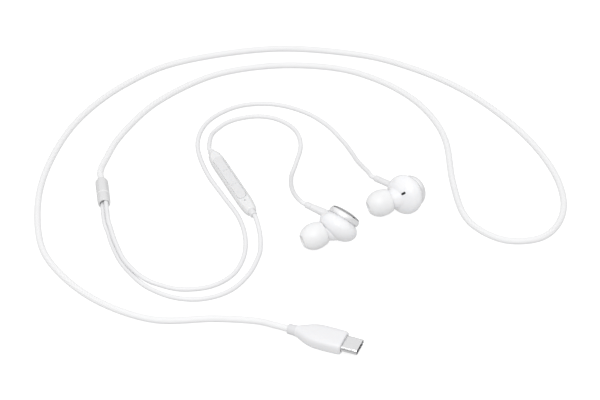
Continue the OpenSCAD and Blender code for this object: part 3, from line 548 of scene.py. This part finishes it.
def moulded(name, base, roughness, grain_scale=MOULD_GRAIN, **sockets):
    """Moulded plastic or rubber: faint cloudiness in its colour, uneven gloss and a fine skin."""
    made, tree, shader = nodes_of(name, base, roughness, **sockets)
    colour(tree, shader, grain(tree, CLOUDS), darker(base, part=0.03), base)
    fine = grain(tree, grain_scale)
    gloss(tree, shader, fine, roughness, spread=0.18)
    bump(tree, shader, fine, MOULD_SKIN)
    return made


def metal(name, base, roughness, brushed=(1, 1, 1)):
    """Metal with uneven gloss and a faint grain, which brushed makes finer along each axis."""
    made, tree, shader = nodes_of(name, base, roughness, Metallic=1.0)
    lines = grain(tree, METAL_GRAIN, stretch=brushed)
    colour(tree, shader, lines, darker(base, part=0.1), base)
    gloss(tree, shader, lines, roughness, spread=0.3)
    bump(tree, shader, lines, METAL_SKIN)
    return made


def satin(name, base, roughness):
    """Bead-blasted, silver-painted metal: half diffuse, half metallic, with a fine speckle."""
    made, tree, shader = nodes_of(name, base, roughness, Metallic=0.45)
    speckle = grain(tree, SPECKLE, detail=2)
    colour(tree, shader, speckle, darker(base, part=0.07), base)
    gloss(tree, shader, speckle, roughness, spread=0.2)
    bump(tree, shader, speckle, MOULD_SKIN)
    return made


def braided(name, base, valley_shade, roughness, pitches):
    """Braided yarn on a cord's own u and v: painted shade darkens it where the strands part, with
    fine fibres.
    """
    made, tree, shader = nodes_of(name, base, roughness, Sheen_Weight=0.2)
    cord_uv = node(tree, "ShaderNodeTexCoord").outputs["UV"]
    place = node(tree, "ShaderNodeSeparateXYZ", {"Vector": cord_uv})

    def calc(kind, *terms):
        return node(tree, "ShaderNodeMath", enumerate(terms), operation=kind).outputs["Value"]

    turn = calc("MULTIPLY", place.outputs["X"], math.pi * BRAID_CARRIERS)
    run = calc("MULTIPLY", place.outputs["Y"], math.pi * pitches)
    one, other = (calc("SINE", calc(way, turn, run)) for way in ("ADD", "SUBTRACT"))
    over = calc("MULTIPLY_ADD", calc("MULTIPLY", one, other), 0.5, 0.5)
    rise_one = calc("MULTIPLY_ADD", over, BRAID_UNDER, 1 - BRAID_UNDER)
    rise_other = calc("MULTIPLY_ADD", over, -BRAID_UNDER, 1.0)
    crest_one = calc("MULTIPLY", calc("ABSOLUTE", one), rise_one)
    crest_other = calc("MULTIPLY", calc("ABSOLUTE", other), rise_other)
    crest_blend, fibre_tone = 0.1, 0.3
    crest = calc("SMOOTH_MAX", crest_one, crest_other, crest_blend)
    fibres = grain(tree, FIBRES)
    tone = calc("MULTIPLY_ADD", fibres, fibre_tone, calc("SUBTRACT", crest, fibre_tone / 2))
    # The colour falls to the valley's painted shade where the strands part, with fibre grain over
    # it
    valley_at, crest_at = 0.25, 0.8
    colour(tree, shader, spread_to(tree, tone, 0.0, 1.0, valley_at, crest_at), valley_shade, base)
    gloss(tree, shader, fibres, roughness, spread=0.15)
    bump(tree, shader, fibres, YARN_SKIN)
    return made


def lit_evenly(name, base, roughness, strength):
    """A matt material that shines by itself, for the stage."""
    return nodes_of(
        name, base, roughness,
        Specular_IOR_Level=0.0, Emission_Color=(1, 1, 1, 1), Emission_Strength=strength,
    )[0]


WHITE_SKIN = {
    "Subsurface_Weight": 0.15,
    "Subsurface_Radius": (0.0012, 0.0011, 0.001),
    "Subsurface_Scale": 1.0,
}
SOFT_SKIN = {
    "Subsurface_Weight": 0.2,
    "Subsurface_Radius": (0.0016, 0.0015, 0.0014),
    "Subsurface_Scale": 1.0,
}
# The record's material slots
LOOKS = {
    "gloss_shell": moulded("gloss_shell", (0.88, 0.88, 0.895), 0.18, **WHITE_SKIN),
    "rear_shell": moulded("rear_shell", (0.78, 0.78, 0.8), 0.4),
    "bezel": satin("satin_silver", (0.92, 0.92, 0.93), 0.42),
    "silicone": moulded("silicone", (0.87, 0.87, 0.875), 0.34, RUBBER_GRAIN, **SOFT_SKIN),
    "boot_rubber": moulded("boot_rubber", (0.755, 0.755, 0.765), 0.4, RUBBER_GRAIN),
    "braid": moulded("braid", (0.84, 0.84, 0.85), 0.7, Sheen_Weight=0.2),
    "ear_cord": moulded("ear_cord", (0.81, 0.81, 0.82), 0.42, CORD_GRAIN),
    "mesh": metal("mesh", (0.55, 0.55, 0.57), 0.3),
    "black_mesh": moulded("black_mesh", (0.02, 0.02, 0.022), 0.6),
    "driver_steel": metal("driver_steel", (0.6, 0.6, 0.62), 0.3),
    "magnet": metal("magnet", (0.55, 0.55, 0.57), 0.15),
    "coil": metal("coil", (0.62, 0.3, 0.14), 0.3, brushed=(1, 1, 12)),
    "film": moulded("film", (0.75, 0.75, 0.7), 0.2),
    "board": moulded("board", (0.03, 0.16, 0.07), 0.35),
    # Keys greyer than the remote's shell: painted shade of the key strip, which lies in shadow
    "keys": moulded("keys", (0.74, 0.74, 0.75), 0.24, **WHITE_SKIN),
    "switch": metal("switch", (0.7, 0.7, 0.7), 0.25),
    "gold": metal("gold", (0.78, 0.56, 0.2), 0.25),
    "shell_steel": metal("shell_steel", (0.93, 0.93, 0.94), 0.17, brushed=(1, 8, 8)),
    "black_plastic": moulded("black_plastic", (0.015, 0.015, 0.017), 0.35),
}
EDGE_LOOK = metal("polished_edge", (0.5, 0.5, 0.51), 0.06)
CAP_LOOK = moulded("cap_gloss", (0.82, 0.82, 0.84), 0.16, Coat_Weight=0.4, Coat_Roughness=0.05)
GRIP_LOOK = moulded("grip_satin", (0.8, 0.8, 0.815), 0.38, RUBBER_GRAIN, **WHITE_SKIN)
REMOTE_LOOK = moulded("remote_shell", (0.8, 0.8, 0.805), 0.2, **WHITE_SKIN)
# Greyer than the other white plastics: painted shade for the darker reflections of the splitter's
# gloss
SHADED_SLEEVE_LOOK = moulded("sleeve", (0.71, 0.71, 0.715), 0.2)
# Near-white, painted highlight: the slider's seam ring, the key dividers and one side of the key
# gap
HIGHLIGHT_WHITE = moulded("painted_highlight_white", (0.93, 0.93, 0.93), 0.2)
TAIL_LOOK = moulded("grip_tail", (0.71, 0.71, 0.725), 0.42, RUBBER_GRAIN)
# Near-black, painted shadow in the key gap
SHADOW_BLACK = moulded("painted_shadow_black", (0.06, 0.06, 0.065), 0.5)
# The darker second colour is the painted shade of the braid's valleys
BRAID_LOOK = braided(
    "braided_yarn", (0.92, 0.92, 0.925), (0.6, 0.6, 0.61), 0.7,
    pitches=line_places(MAIN_LINE)[-1] / BRAID_PITCH,
)

# CAD nodes that look other than their slot does
NODE_LOOKS = {
    "remote_front_cover": REMOTE_LOOK,
    "remote_rear_cover": REMOTE_LOOK,
    # The splitter's parts take the greyer look, painted shade
    "splitter_sleeve": SHADED_SLEEVE_LOOK,
    "chin_slider": SHADED_SLEEVE_LOOK,
    "splitter_core": SHADED_SLEEVE_LOOK,
}
for part in frame["record"]["subparts"]:
    materials = frame["nodes"][part["node"]].data.materials
    materials.clear()
    materials.append(NODE_LOOKS.get(part["node"], LOOKS[part["material_slot"]]))

# ---------- earbuds ----------

# Ring and cap: where the satin side ends and the polished edge begins, and where the edge ends
EDGE_OUT = BEZEL_R - 0.36
EDGE_SEAT = CROWN_R - 0.35
EDGE_IN = CAP_R + 0.05
SATIN_TOP = BEZEL_TOP - 0.12
EDGE_FOOT = BEZEL_TOP - 0.11


def tip_back(place):
    """The ear tip's radius behind its widest place."""
    return TIP_R * (1 - TIP_TAPER * ((TIP_WIDE - place) / (TIP_WIDE - TIP_RIM)) ** 2)


def ear_tip_profile():
    """Ball-like dome with a round mouth, and a skirt rolled back round the inner sleeve."""
    mouth_round, rim_round, nose_wall = 0.55, 0.28, 2.3
    nose = math.acos((MOUTH_R + mouth_round) / TIP_R)
    dome_reach = (TIP_FRONT - TIP_WIDE) / math.sin(nose)
    hollow_reach = TIP_FRONT - nose_wall - TIP_WIDE
    sleeve_in = NOZZLE_LIP_R + TIP_PLAY
    sleeve_out = sleeve_in + SLEEVE_T
    sleeve_base = TIP_RIM + 1.9
    sleeve_end = NOZZLE_REACH + 0.3
    bore_r = MOUTH_R - 0.3
    skirt_base = TIP_RIM + 0.25
    skirt = [skirt_base + (TIP_WIDE - skirt_base) * i / 12 for i in range(12)]
    sleeve_mid, rim_mid = (sleeve_in + sleeve_out) / 2, tip_back(TIP_RIM) - SKIRT_T / 2
    half_sleeve, half_skirt = SLEEVE_T / 2, SKIRT_T / 2

    skirt_outside = [(tip_back(s), s) for s in skirt]
    dome = arc(0, TIP_WIDE, TIP_R, dome_reach, 0, math.degrees(nose) - 3, 36)
    mouth = arc(
        MOUTH_R + mouth_round, TIP_FRONT - mouth_round, mouth_round, mouth_round, 80, 155, 6
    )
    bore = [(MOUTH_R - 0.25, TIP_FRONT - 1.5), (bore_r, TIP_FRONT - 1.7), (bore_r, sleeve_end)]
    seat = [(sleeve_in, sleeve_end), (sleeve_in, sleeve_base + 0.2)]
    sleeve_rim = arc(sleeve_mid, sleeve_base + half_sleeve, half_sleeve, half_sleeve, 180, 360, 8)
    hollow = arc(sleeve_out, TIP_WIDE, TIP_R - SKIRT_T - sleeve_out, hollow_reach, 90, 0, 20)
    skirt_inside = [(tip_back(s) - SKIRT_T, s) for s in skirt[::-1]]
    skirt_rim = arc(rim_mid, TIP_RIM + rim_round, half_skirt, rim_round, 180, 350, 8)
    outside, inside = skirt_outside + dome + mouth, bore + seat + sleeve_rim
    return outside + inside + hollow + skirt_inside + skirt_rim


def crown(r):
    """Height of the cap's dome, carried on by the ring's edge, at that distance from the axis."""
    return BEZEL_TOP + CAP_CROWN * math.sqrt(max(0.0, 1 - (r / CROWN_R) ** 2))


def bezel_profile():
    """The ring's satin side with a small round at its foot and a soft belly."""
    seat = REAR_R + 0.05
    foot = arc(BEZEL_R - 0.35, BEZEL_BASE + 0.2, 0.25, 0.2, 270, 350, 6)
    belly = [
        (BEZEL_R, BEZEL_BASE + 1.0),
        (BEZEL_R - 0.05, BEZEL_BASE + 1.4),
        (BEZEL_R - 0.2, BEZEL_TOP - 0.4),
    ]
    top = [(EDGE_OUT, SATIN_TOP), (EDGE_SEAT, SATIN_TOP), (seat, REAR_TOP)]
    return [(seat, BEZEL_BASE)] + foot + belly + top


def edge_profile():
    """The ring's polished edge, from its side over a tight round to the cap."""
    # Closer together at the rim, where the dome is steepest
    steps = [CROWN_R - (CROWN_R - EDGE_IN) * (i / 8) ** 1.5 for i in range(9)]
    side = [(EDGE_SEAT, EDGE_FOOT), (EDGE_OUT, EDGE_FOOT), (EDGE_OUT - 0.04, BEZEL_TOP)]
    return side + [(r - 0.01, crown(r)) for r in steps] + [(EDGE_IN, EDGE_FOOT)]


def cap_profile():
    """Domed cap with a rounded rim, just under the dome that it shares with the ring's edge."""
    rim = CAP_R - 0.12
    steps = [CAP_R * math.sin(math.radians(a)) for a in range(0, 75, 6)]
    foot = [(0, REAR_TOP), (CAP_R, REAR_TOP)]
    round_rim = [
        (CAP_R, crown(CAP_R) - 0.24),
        (CAP_R - 0.03, crown(CAP_R) - 0.14),
        (rim, crown(rim) - 0.07),
    ]
    dome = [(r, crown(r) - 0.06) for r in steps[::-1] if r < rim - 0.1]
    return foot + round_rim + dome


def boot_ring(place, wide, high, rise, sides=48):
    """A ring across the boot, its middle raised by rise."""
    return [(high * math.cos(a) - rise, wide * math.sin(a), place) for a in circle(sides, 0.5)]


def boot_reach(x, y):
    """How far along the boot a line beside its axis is out of the housing and clear of the ring."""
    margin = 0.1
    tilt = math.radians(90 + BOOT_LEAN)
    r, h, ring = HOUSING_R + margin, SHOULDER_DEPTH + margin, BEZEL_R + margin
    # Out of the shoulder's ellipsoid, r wide and h high, where p s^2 + 2 q s + c = 0
    x0, z0 = math.cos(tilt) * x, BOOT_AXIS_H - math.sin(tilt) * x
    p = (math.sin(tilt) / r) ** 2 + (math.cos(tilt) / h) ** 2
    q = x0 * math.sin(tilt) / r**2 + z0 * math.cos(tilt) / h**2
    c = (x0 * x0 + y * y) / r**2 + z0 * z0 / h**2 - 1
    out = (-q + math.sqrt(max(0.0, q * q - p * c))) / p
    return max(out, (math.sqrt(ring * ring - y * y) - x0) / math.sin(tilt))


def boot_rings():
    """The boot's outside: seated on the housing, flared, a neck, a groove and the end collar."""
    r, slim, flare = BOOT_R, 0.93 * BOOT_R, BOOT_FLARE / 2
    collar = BOOT_END - COLLAR_LENGTH
    core = boot_ring(0, BOOT_CORE_R, BOOT_CORE_R, 0)
    seat = boot_ring(0, slim, flare + 0.05, 0.3)
    # Rows of place, half width, half height and rise
    body = eased(
        [
            (HOUSING_R + 0.4, slim, flare, 0.26),
            (HOUSING_R + 1.5, slim, 0.82 * flare + 0.18 * r, 0.22),
            (HOUSING_R + 2.6, slim, 0.6 * flare + 0.4 * r, 0.18),
            (HOUSING_R + 4.2, 0.94 * r, 0.25 * flare + 0.77 * r, 0.1),
            (collar - 0.45, 0.96 * r, 1.01 * r, 0.03),
        ],
        count=5,
    )
    groove = [
        (collar - 0.32, slim, 0.95 * r, 0.02),
        (collar - 0.2, 0.9 * r, 0.9 * r, 0),
        (collar - 0.08, 0.94 * r, 0.94 * r, 0),
        (collar, 0.99 * r, 0.99 * r, 0),
    ]
    # The end collar is round: rows of place and how much smaller than r it is
    end = [(collar + 0.1, 0), (BOOT_END - 0.35, 0), (BOOT_END - 0.18, 0.04)]
    end += [(BOOT_END - 0.05, 0.13), (BOOT_END, 0.27)]
    rows = body + groove + [(place, r - less, r - less, 0) for place, less in end]
    seated = [[(x, y, boot_reach(x, y)) for x, y, _ in ring] for ring in (core, seat)]
    return seated + [boot_ring(*row) for row in rows]


for side in SIDES:
    lathe(
        f"{side}_silicone_tip", NOZZLE[side], ear_tip_profile(), LOOKS["silicone"], "silicone",
        body=f"{side}_ear_tip", stands_for=[f"{side}_ear_tip"], sharp=50,
    )
    for name, profile, look in (
        ("satin_ring", bezel_profile(), LOOKS["bezel"]),
        ("polished_edge", edge_profile(), EDGE_LOOK),
    ):
        lathe(
            f"{side}_{name}", BUD[side], profile, look, "bezel",
            stands_for=[f"{side}_bezel"], sharp=35,
        )
    lathe(
        f"{side}_domed_cap", BUD[side], cap_profile(), CAP_LOOK, "gloss_shell", looped=False,
        stands_for=[f"{side}_rear_cap"], sharp=35,
    )
    loft(
        f"{side}_boot_skin", BOOT[side], boot_rings(), LOOKS["boot_rubber"], "boot_rubber",
        stands_for=[f"{side}_cable_boot"], sharp=40,
    )

# ---------- plug ----------

PLUG_SIDES = 72
TAIL_LENGTH = 3.4


def squircle_ring(place, wide, high, square):
    """A ring across the plug: a superellipse cut flat where the grip rests on the floor."""
    floor_level = -(GRIP_HEIGHT / 2 - GRIP_FLAT)
    ring = []
    for a in circle(PLUG_SIDES, 0.5):
        y, z = math.cos(a), math.sin(a)
        y = math.copysign(abs(y) ** (2 / square), y) * wide
        z = math.copysign(abs(z) ** (2 / square), z) * high
        ring.append((place, y, max(z, floor_level)))
    return ring


def shell_ring(place, out):
    """A ring of the steel shell's outline, grown by out on each side."""
    r = (SHELL_HEIGHT + 2 * out) / 2
    flat = (SHELL_WIDTH + 2 * out) / 2 - r
    return [
        (place, math.copysign(flat, math.cos(a)) + r * math.cos(a), r * math.sin(a))
        for a in circle(PLUG_SIDES, 0.5)
    ]


def grip_rings():
    """The grip from its cord end to the face round the shell, and from there in along the shell."""
    wide, high, end_r, length = GRIP_WIDTH, GRIP_HEIGHT, GRIP_END_R, GRIP_LENGTH
    # Rows of place, half width, half height and squareness
    end = [
        (-length, end_r - 0.22, end_r - 0.22, 2),
        (-length + 0.06, end_r - 0.09, end_r - 0.09, 2),
        (-length + 0.2, end_r, end_r, 2),
    ]
    body = eased(
        [
            (-0.92 * length, end_r + 0.02, end_r + 0.02, 2),
            (-0.84 * length, 0.2 * wide, 0.37 * high, 2.1),
            (-0.77 * length, 0.27 * wide, 0.41 * high, 2.3),
            (-0.7 * length, 0.345 * wide, 0.445 * high, 2.5),
            (-0.63 * length, 0.41 * wide, 0.47 * high, 2.8),
            (-0.55 * length, 0.462 * wide, 0.49 * high, 3),
            (-0.46 * length, 0.492 * wide, 0.5 * high, 3.2),
            (-0.25 * length, 0.5 * wide, 0.5 * high, 3.3),
            (-0.05 * length, 0.487 * wide, 0.49 * high, 3.3),
        ],
        count=5,
    )
    face = [
        (-0.5, 0.478 * wide, 0.479 * high, 3.2),
        (-0.22, 0.468 * wide, 0.464 * high, 3.1),
        (-0.06, 0.455 * wide, 0.446 * high, 3),
        (0, 0.44 * wide, 0.428 * high, 3),
    ]
    # A seam round the shell, then a close fit: rows of place and gap
    seam, play, pocket_end = 0.2, 0.02, -11.1
    pocket = [(0, seam), (-0.5, seam), (-0.52, play), (pocket_end, play)]
    return [squircle_ring(*row) for row in end + body + face] + [shell_ring(*row) for row in pocket]


def shell_rings():
    """The shell's outside, its rounded mouth and its inside, as rows of place and growth."""
    lip = SHELL_WALL / 2
    straight_end = SHELL_REACH - 1.2
    outside = [(place, 0.0) for place in (-SHELL_BURIED, -0.4, 0.4, straight_end)]
    mouth = [
        (SHELL_REACH - lip + lip * math.sin(a), lip * math.cos(a) - lip)
        for a in (math.pi * i / 10 for i in range(11))
    ]
    inside = [(straight_end, -SHELL_WALL), (-SHELL_BURIED, -SHELL_WALL)]
    return [shell_ring(*row) for row in outside + mouth + inside]


grip = loft(
    "plug_grip_skin", PLUG, grip_rings(), GRIP_LOOK, "boot_rubber",
    stands_for=["plug_grip"], sharp=50,
)
grip.data.materials.append(TAIL_LOOK)
plug_space = PLUG.inverted()
for face in grip.data.polygons:
    if (plug_space @ (face.center / MM)).x < -GRIP_LENGTH + TAIL_LENGTH:
        face.material_index = 1
loft(
    "plug_steel_shell", PLUG, shell_rings(), LOOKS["shell_steel"], "shell_steel", looped=True,
    stands_for=["plug_shell"], sharp=50,
)

# ---------- splitter ----------

# A round ring closes the seam between the sleeve and the slider; its near-white colour is painted
# highlight along the seam, with real gloss on top
SEAM_RING_R = 0.115
SEAM_RING_DEPTH = 0.03
lathe(
    "slider_seam_highlight_ring",
    SPLITTER @ Matrix.Translation((SEAM_GAP / 2, 0, 0)) @ turned((0, 90, 0)),
    arc(SPLITTER_R - SEAM_RING_R - SEAM_RING_DEPTH, 0, SEAM_RING_R, SEAM_RING_R, 0, 345, 24),
    HIGHLIGHT_WHITE, "gloss_shell", count=96, body="chin_slider",
)

# ---------- remote ----------

GAP_STRIP_PLAY = 0.02
GAP_STRIP_FOOT = KEY_FACE - 0.45


def strip_outline(grow, first, last):
    """Points round part of the key strip, grown by grow on each side.

    They go from an angle on its upper end, along a side, to one on its lower end, in degrees.
    """
    r = KEY_WIDTH / 2 + grow
    flat = STRIP_HALF - KEY_WIDTH / 2
    side = math.copysign(90, first + last - 180)
    upper, lower = (np.radians(np.linspace(*turn, 14)) for turn in ((first, side), (side, last)))
    turns = [(flat, a) for a in upper] + [(-flat, a) for a in lower]
    return [(STRIP_SHIFT + x + r * math.cos(a), r * math.sin(a)) for x, a in turns]


def gap_strip(name, look, first, last, top):
    """A strip in part of the gap round the keys, under their faces, in the look it is given:
    painted highlight on one side, painted shadow on the other.
    """
    near, far = (strip_outline(grow, first, last) for grow in (GAP_STRIP_PLAY, KEY_GAP - GAP_STRIP_PLAY))
    rings = [
        [(*p, top), (*q, top), (*q, GAP_STRIP_FOOT), (*p, GAP_STRIP_FOOT)] for p, q in zip(near, far)
    ]
    loft(name, REMOTE, rings, look, "boot_rubber", sharp=30)


def divider(name, middle):
    """A thin wall between two keys, with a ridge along its top and lower at its ends; its
    near-white colour is painted highlight between the keys.
    """
    half_gap, half_width = KEY_GAP / 2 - GAP_STRIP_PLAY, KEY_WIDTH / 2 - GAP_STRIP_PLAY
    top = KEY_FACE + KEY_RISE - 0.12
    low, high, end_drop, ridge = middle - half_gap, middle + half_gap, 0.15, 0.02
    rows = [(-half_width, end_drop), (end_drop - half_width, 0)]
    rows += [(half_width - end_drop, 0), (half_width, end_drop)]
    rings = [
        [
            (low, y, GAP_STRIP_FOOT),
            (high, y, GAP_STRIP_FOOT),
            (high, y, top - drop),
            (middle, y, top - drop + ridge),
            (low, y, top - drop),
        ]
        for y, drop in rows
    ]
    loft(name, REMOTE, rings, HIGHLIGHT_WHITE, "boot_rubber", sharp=30)


# Painted light and shade in the gap round the keys: a light line on one side of the strip is
# near-white painted highlight, the dark one on the other near-black painted shadow
gap_strip("key_strip_painted_highlight", HIGHLIGHT_WHITE, 62, 228, KEY_FACE - 0.12)
gap_strip("key_strip_shadow_seal", SHADOW_BLACK, 58, -128, KEY_FACE - 0.1)
for name, keys_from_middle in (("key_divider_low", -0.5), ("key_divider_high", 0.5)):
    divider(name, STRIP_SHIFT + keys_from_middle * (KEY_LENGTH + KEY_GAP))

# ---------- cords ----------


def braid(angle, place):
    """How far the braid's skin lies below its outer radius, where two families of strands cross."""
    turn, run = BRAID_CARRIERS * angle / 2, math.pi * place / BRAID_PITCH
    one, other = np.sin(turn + run), np.sin(turn - run)
    over = 0.5 + 0.5 * one * other
    crest_one = np.abs(one) ** BRAID_CREST * (1 - BRAID_UNDER + BRAID_UNDER * over)
    crest_other = np.abs(other) ** BRAID_CREST * (1 - BRAID_UNDER * over)
    return BRAID_DEPTH * (1 - np.maximum(crest_one, crest_other))


def ear_cord(name, line, node_name):
    """A smooth ear cord that stands for that CAD node."""
    return tube(
        name, line, EAR_CORD_D / 2, LOOKS["ear_cord"], "ear_cord",
        sides=28, step=0.6, stands_for=[node_name],
    )


main_cord = tube(
    "main_braided_cord", MAIN_LINE, MAIN_CORD_D / 2, BRAID_LOOK, "braid",
    sides=36, step=0.24, height=braid, stands_for=["main_cord"],
)
right_cord = ear_cord("right_ear_lead", RIGHT_LINE, "right_ear_cord")
left_lower_cord = ear_cord("left_lower_lead", LEFT_LOWER_LINE, "left_lower_cord")
left_upper_cord = ear_cord("left_upper_lead", LEFT_UPPER_LINE, "left_upper_cord")

# ---------- stage ----------

FLOOR_HALF = 6.0
FLOOR_GLOW = 0.72
REFLECTED_FLOOR_DROP = 0.0005
REFLECTED_FLOOR_GLOW = 0.6
SCREEN_R = 4.0
SCREEN_LOW, SCREEN_HIGH = 0.05, 1.0
SCREEN_SIDES = 48
BAR_HALF = 2.2
BAR_Y = -2
BAR_LOW, BAR_HIGH = 2.2, 2.75
LIGHT_AT = (-0.2, -0.8, 1.35)
LIGHT_TARGET = (-0.03, 0.01, 0)
LIGHT_SIZE = 0.9
LIGHT_POWER = 9
# The sky's strength rises from low to high as a direction's z goes from start to end
SKY_LOW, SKY_HIGH = 0.73, 0.85
SKY_START, SKY_END = -0.3, 0.6


def stage_piece(name, verts, faces, look):
    """A piece of the stage from points in metres."""
    mesh = bpy.data.meshes.new(name)
    mesh.from_pydata(verts, [], faces)
    obj = linked(name, mesh)
    mesh.materials.append(look)
    return obj


def floor_piece(name, level, look):
    """A square floor at that height."""
    corners = [
        (x * FLOOR_HALF, y * FLOOR_HALF, level) for x, y in ((-1, -1), (1, -1), (1, 1), (-1, 1))
    ]
    return stage_piece(name, corners, [(0, 1, 2, 3)], look)


# The floor's own light stays off the object's underside and out of its gloss, as in the photograph
floor = floor_piece("floor", 0, lit_evenly("floor", (0.45, 0.45, 0.45), 0.9, FLOOR_GLOW))
floor.visible_diffuse = floor.visible_glossy = False

# Reflections see a greyer floor, which draws the fine grey outlines of the photograph
reflected_floor = floor_piece(
    "gloss_floor", -REFLECTED_FLOOR_DROP,
    lit_evenly("gloss_floor", (0, 0, 0), 1.0, REFLECTED_FLOOR_GLOW),
)

# They also see a low dark screen all round and a bar, which draw the dark lines in polished metal
dark_look = nodes_of("screen", (0.01, 0.01, 0.01), 1.0)[0]
screen_line = [(SCREEN_R * math.cos(a), SCREEN_R * math.sin(a)) for a in circle(SCREEN_SIDES)]
screen = stage_piece(
    "dark_screen",
    [(x, y, level) for level in (SCREEN_LOW, SCREEN_HIGH) for x, y in screen_line],
    [
        (i, j, SCREEN_SIDES + j, SCREEN_SIDES + i)
        for i, j in ((i, (i + 1) % SCREEN_SIDES) for i in range(SCREEN_SIDES))
    ],
    dark_look,
)
bar = stage_piece(
    "dark_bar",
    [
        (-BAR_HALF, BAR_Y, BAR_LOW), (BAR_HALF, BAR_Y, BAR_LOW),
        (BAR_HALF, BAR_Y, BAR_HIGH), (-BAR_HALF, BAR_Y, BAR_HIGH),
    ],
    [(0, 1, 2, 3)], dark_look,
)
for shade in (screen, bar, reflected_floor):
    shade.visible_camera = shade.visible_diffuse = False
    shade.visible_shadow = shade.visible_transmission = False

world = bpy.data.worlds.new("studio")
bpy.context.scene.world = world
world.use_nodes = True
sky = world.node_tree
background = sky.nodes["Background"]
background.inputs["Color"].default_value = (1, 1, 1, 1)
way = node(sky, "ShaderNodeTexCoord").outputs["Generated"]
rise = node(sky, "ShaderNodeSeparateXYZ", {"Vector": way}).outputs["Z"]
glow = spread_to(sky, rise, SKY_LOW, SKY_HIGH, SKY_START, SKY_END)
sky.links.new(glow, background.inputs["Strength"])

light = bpy.data.lights.new("key", "AREA")
light.shape, light.size, light.energy = "SQUARE", LIGHT_SIZE, LIGHT_POWER
lamp = linked("key", light)
lamp.location = LIGHT_AT
aim = Vector(LIGHT_TARGET) - Vector(LIGHT_AT)
lamp.rotation_euler = aim.to_track_quat("-Z", "Y").to_euler()

bpy.context.scene.view_settings.view_transform = "Standard"
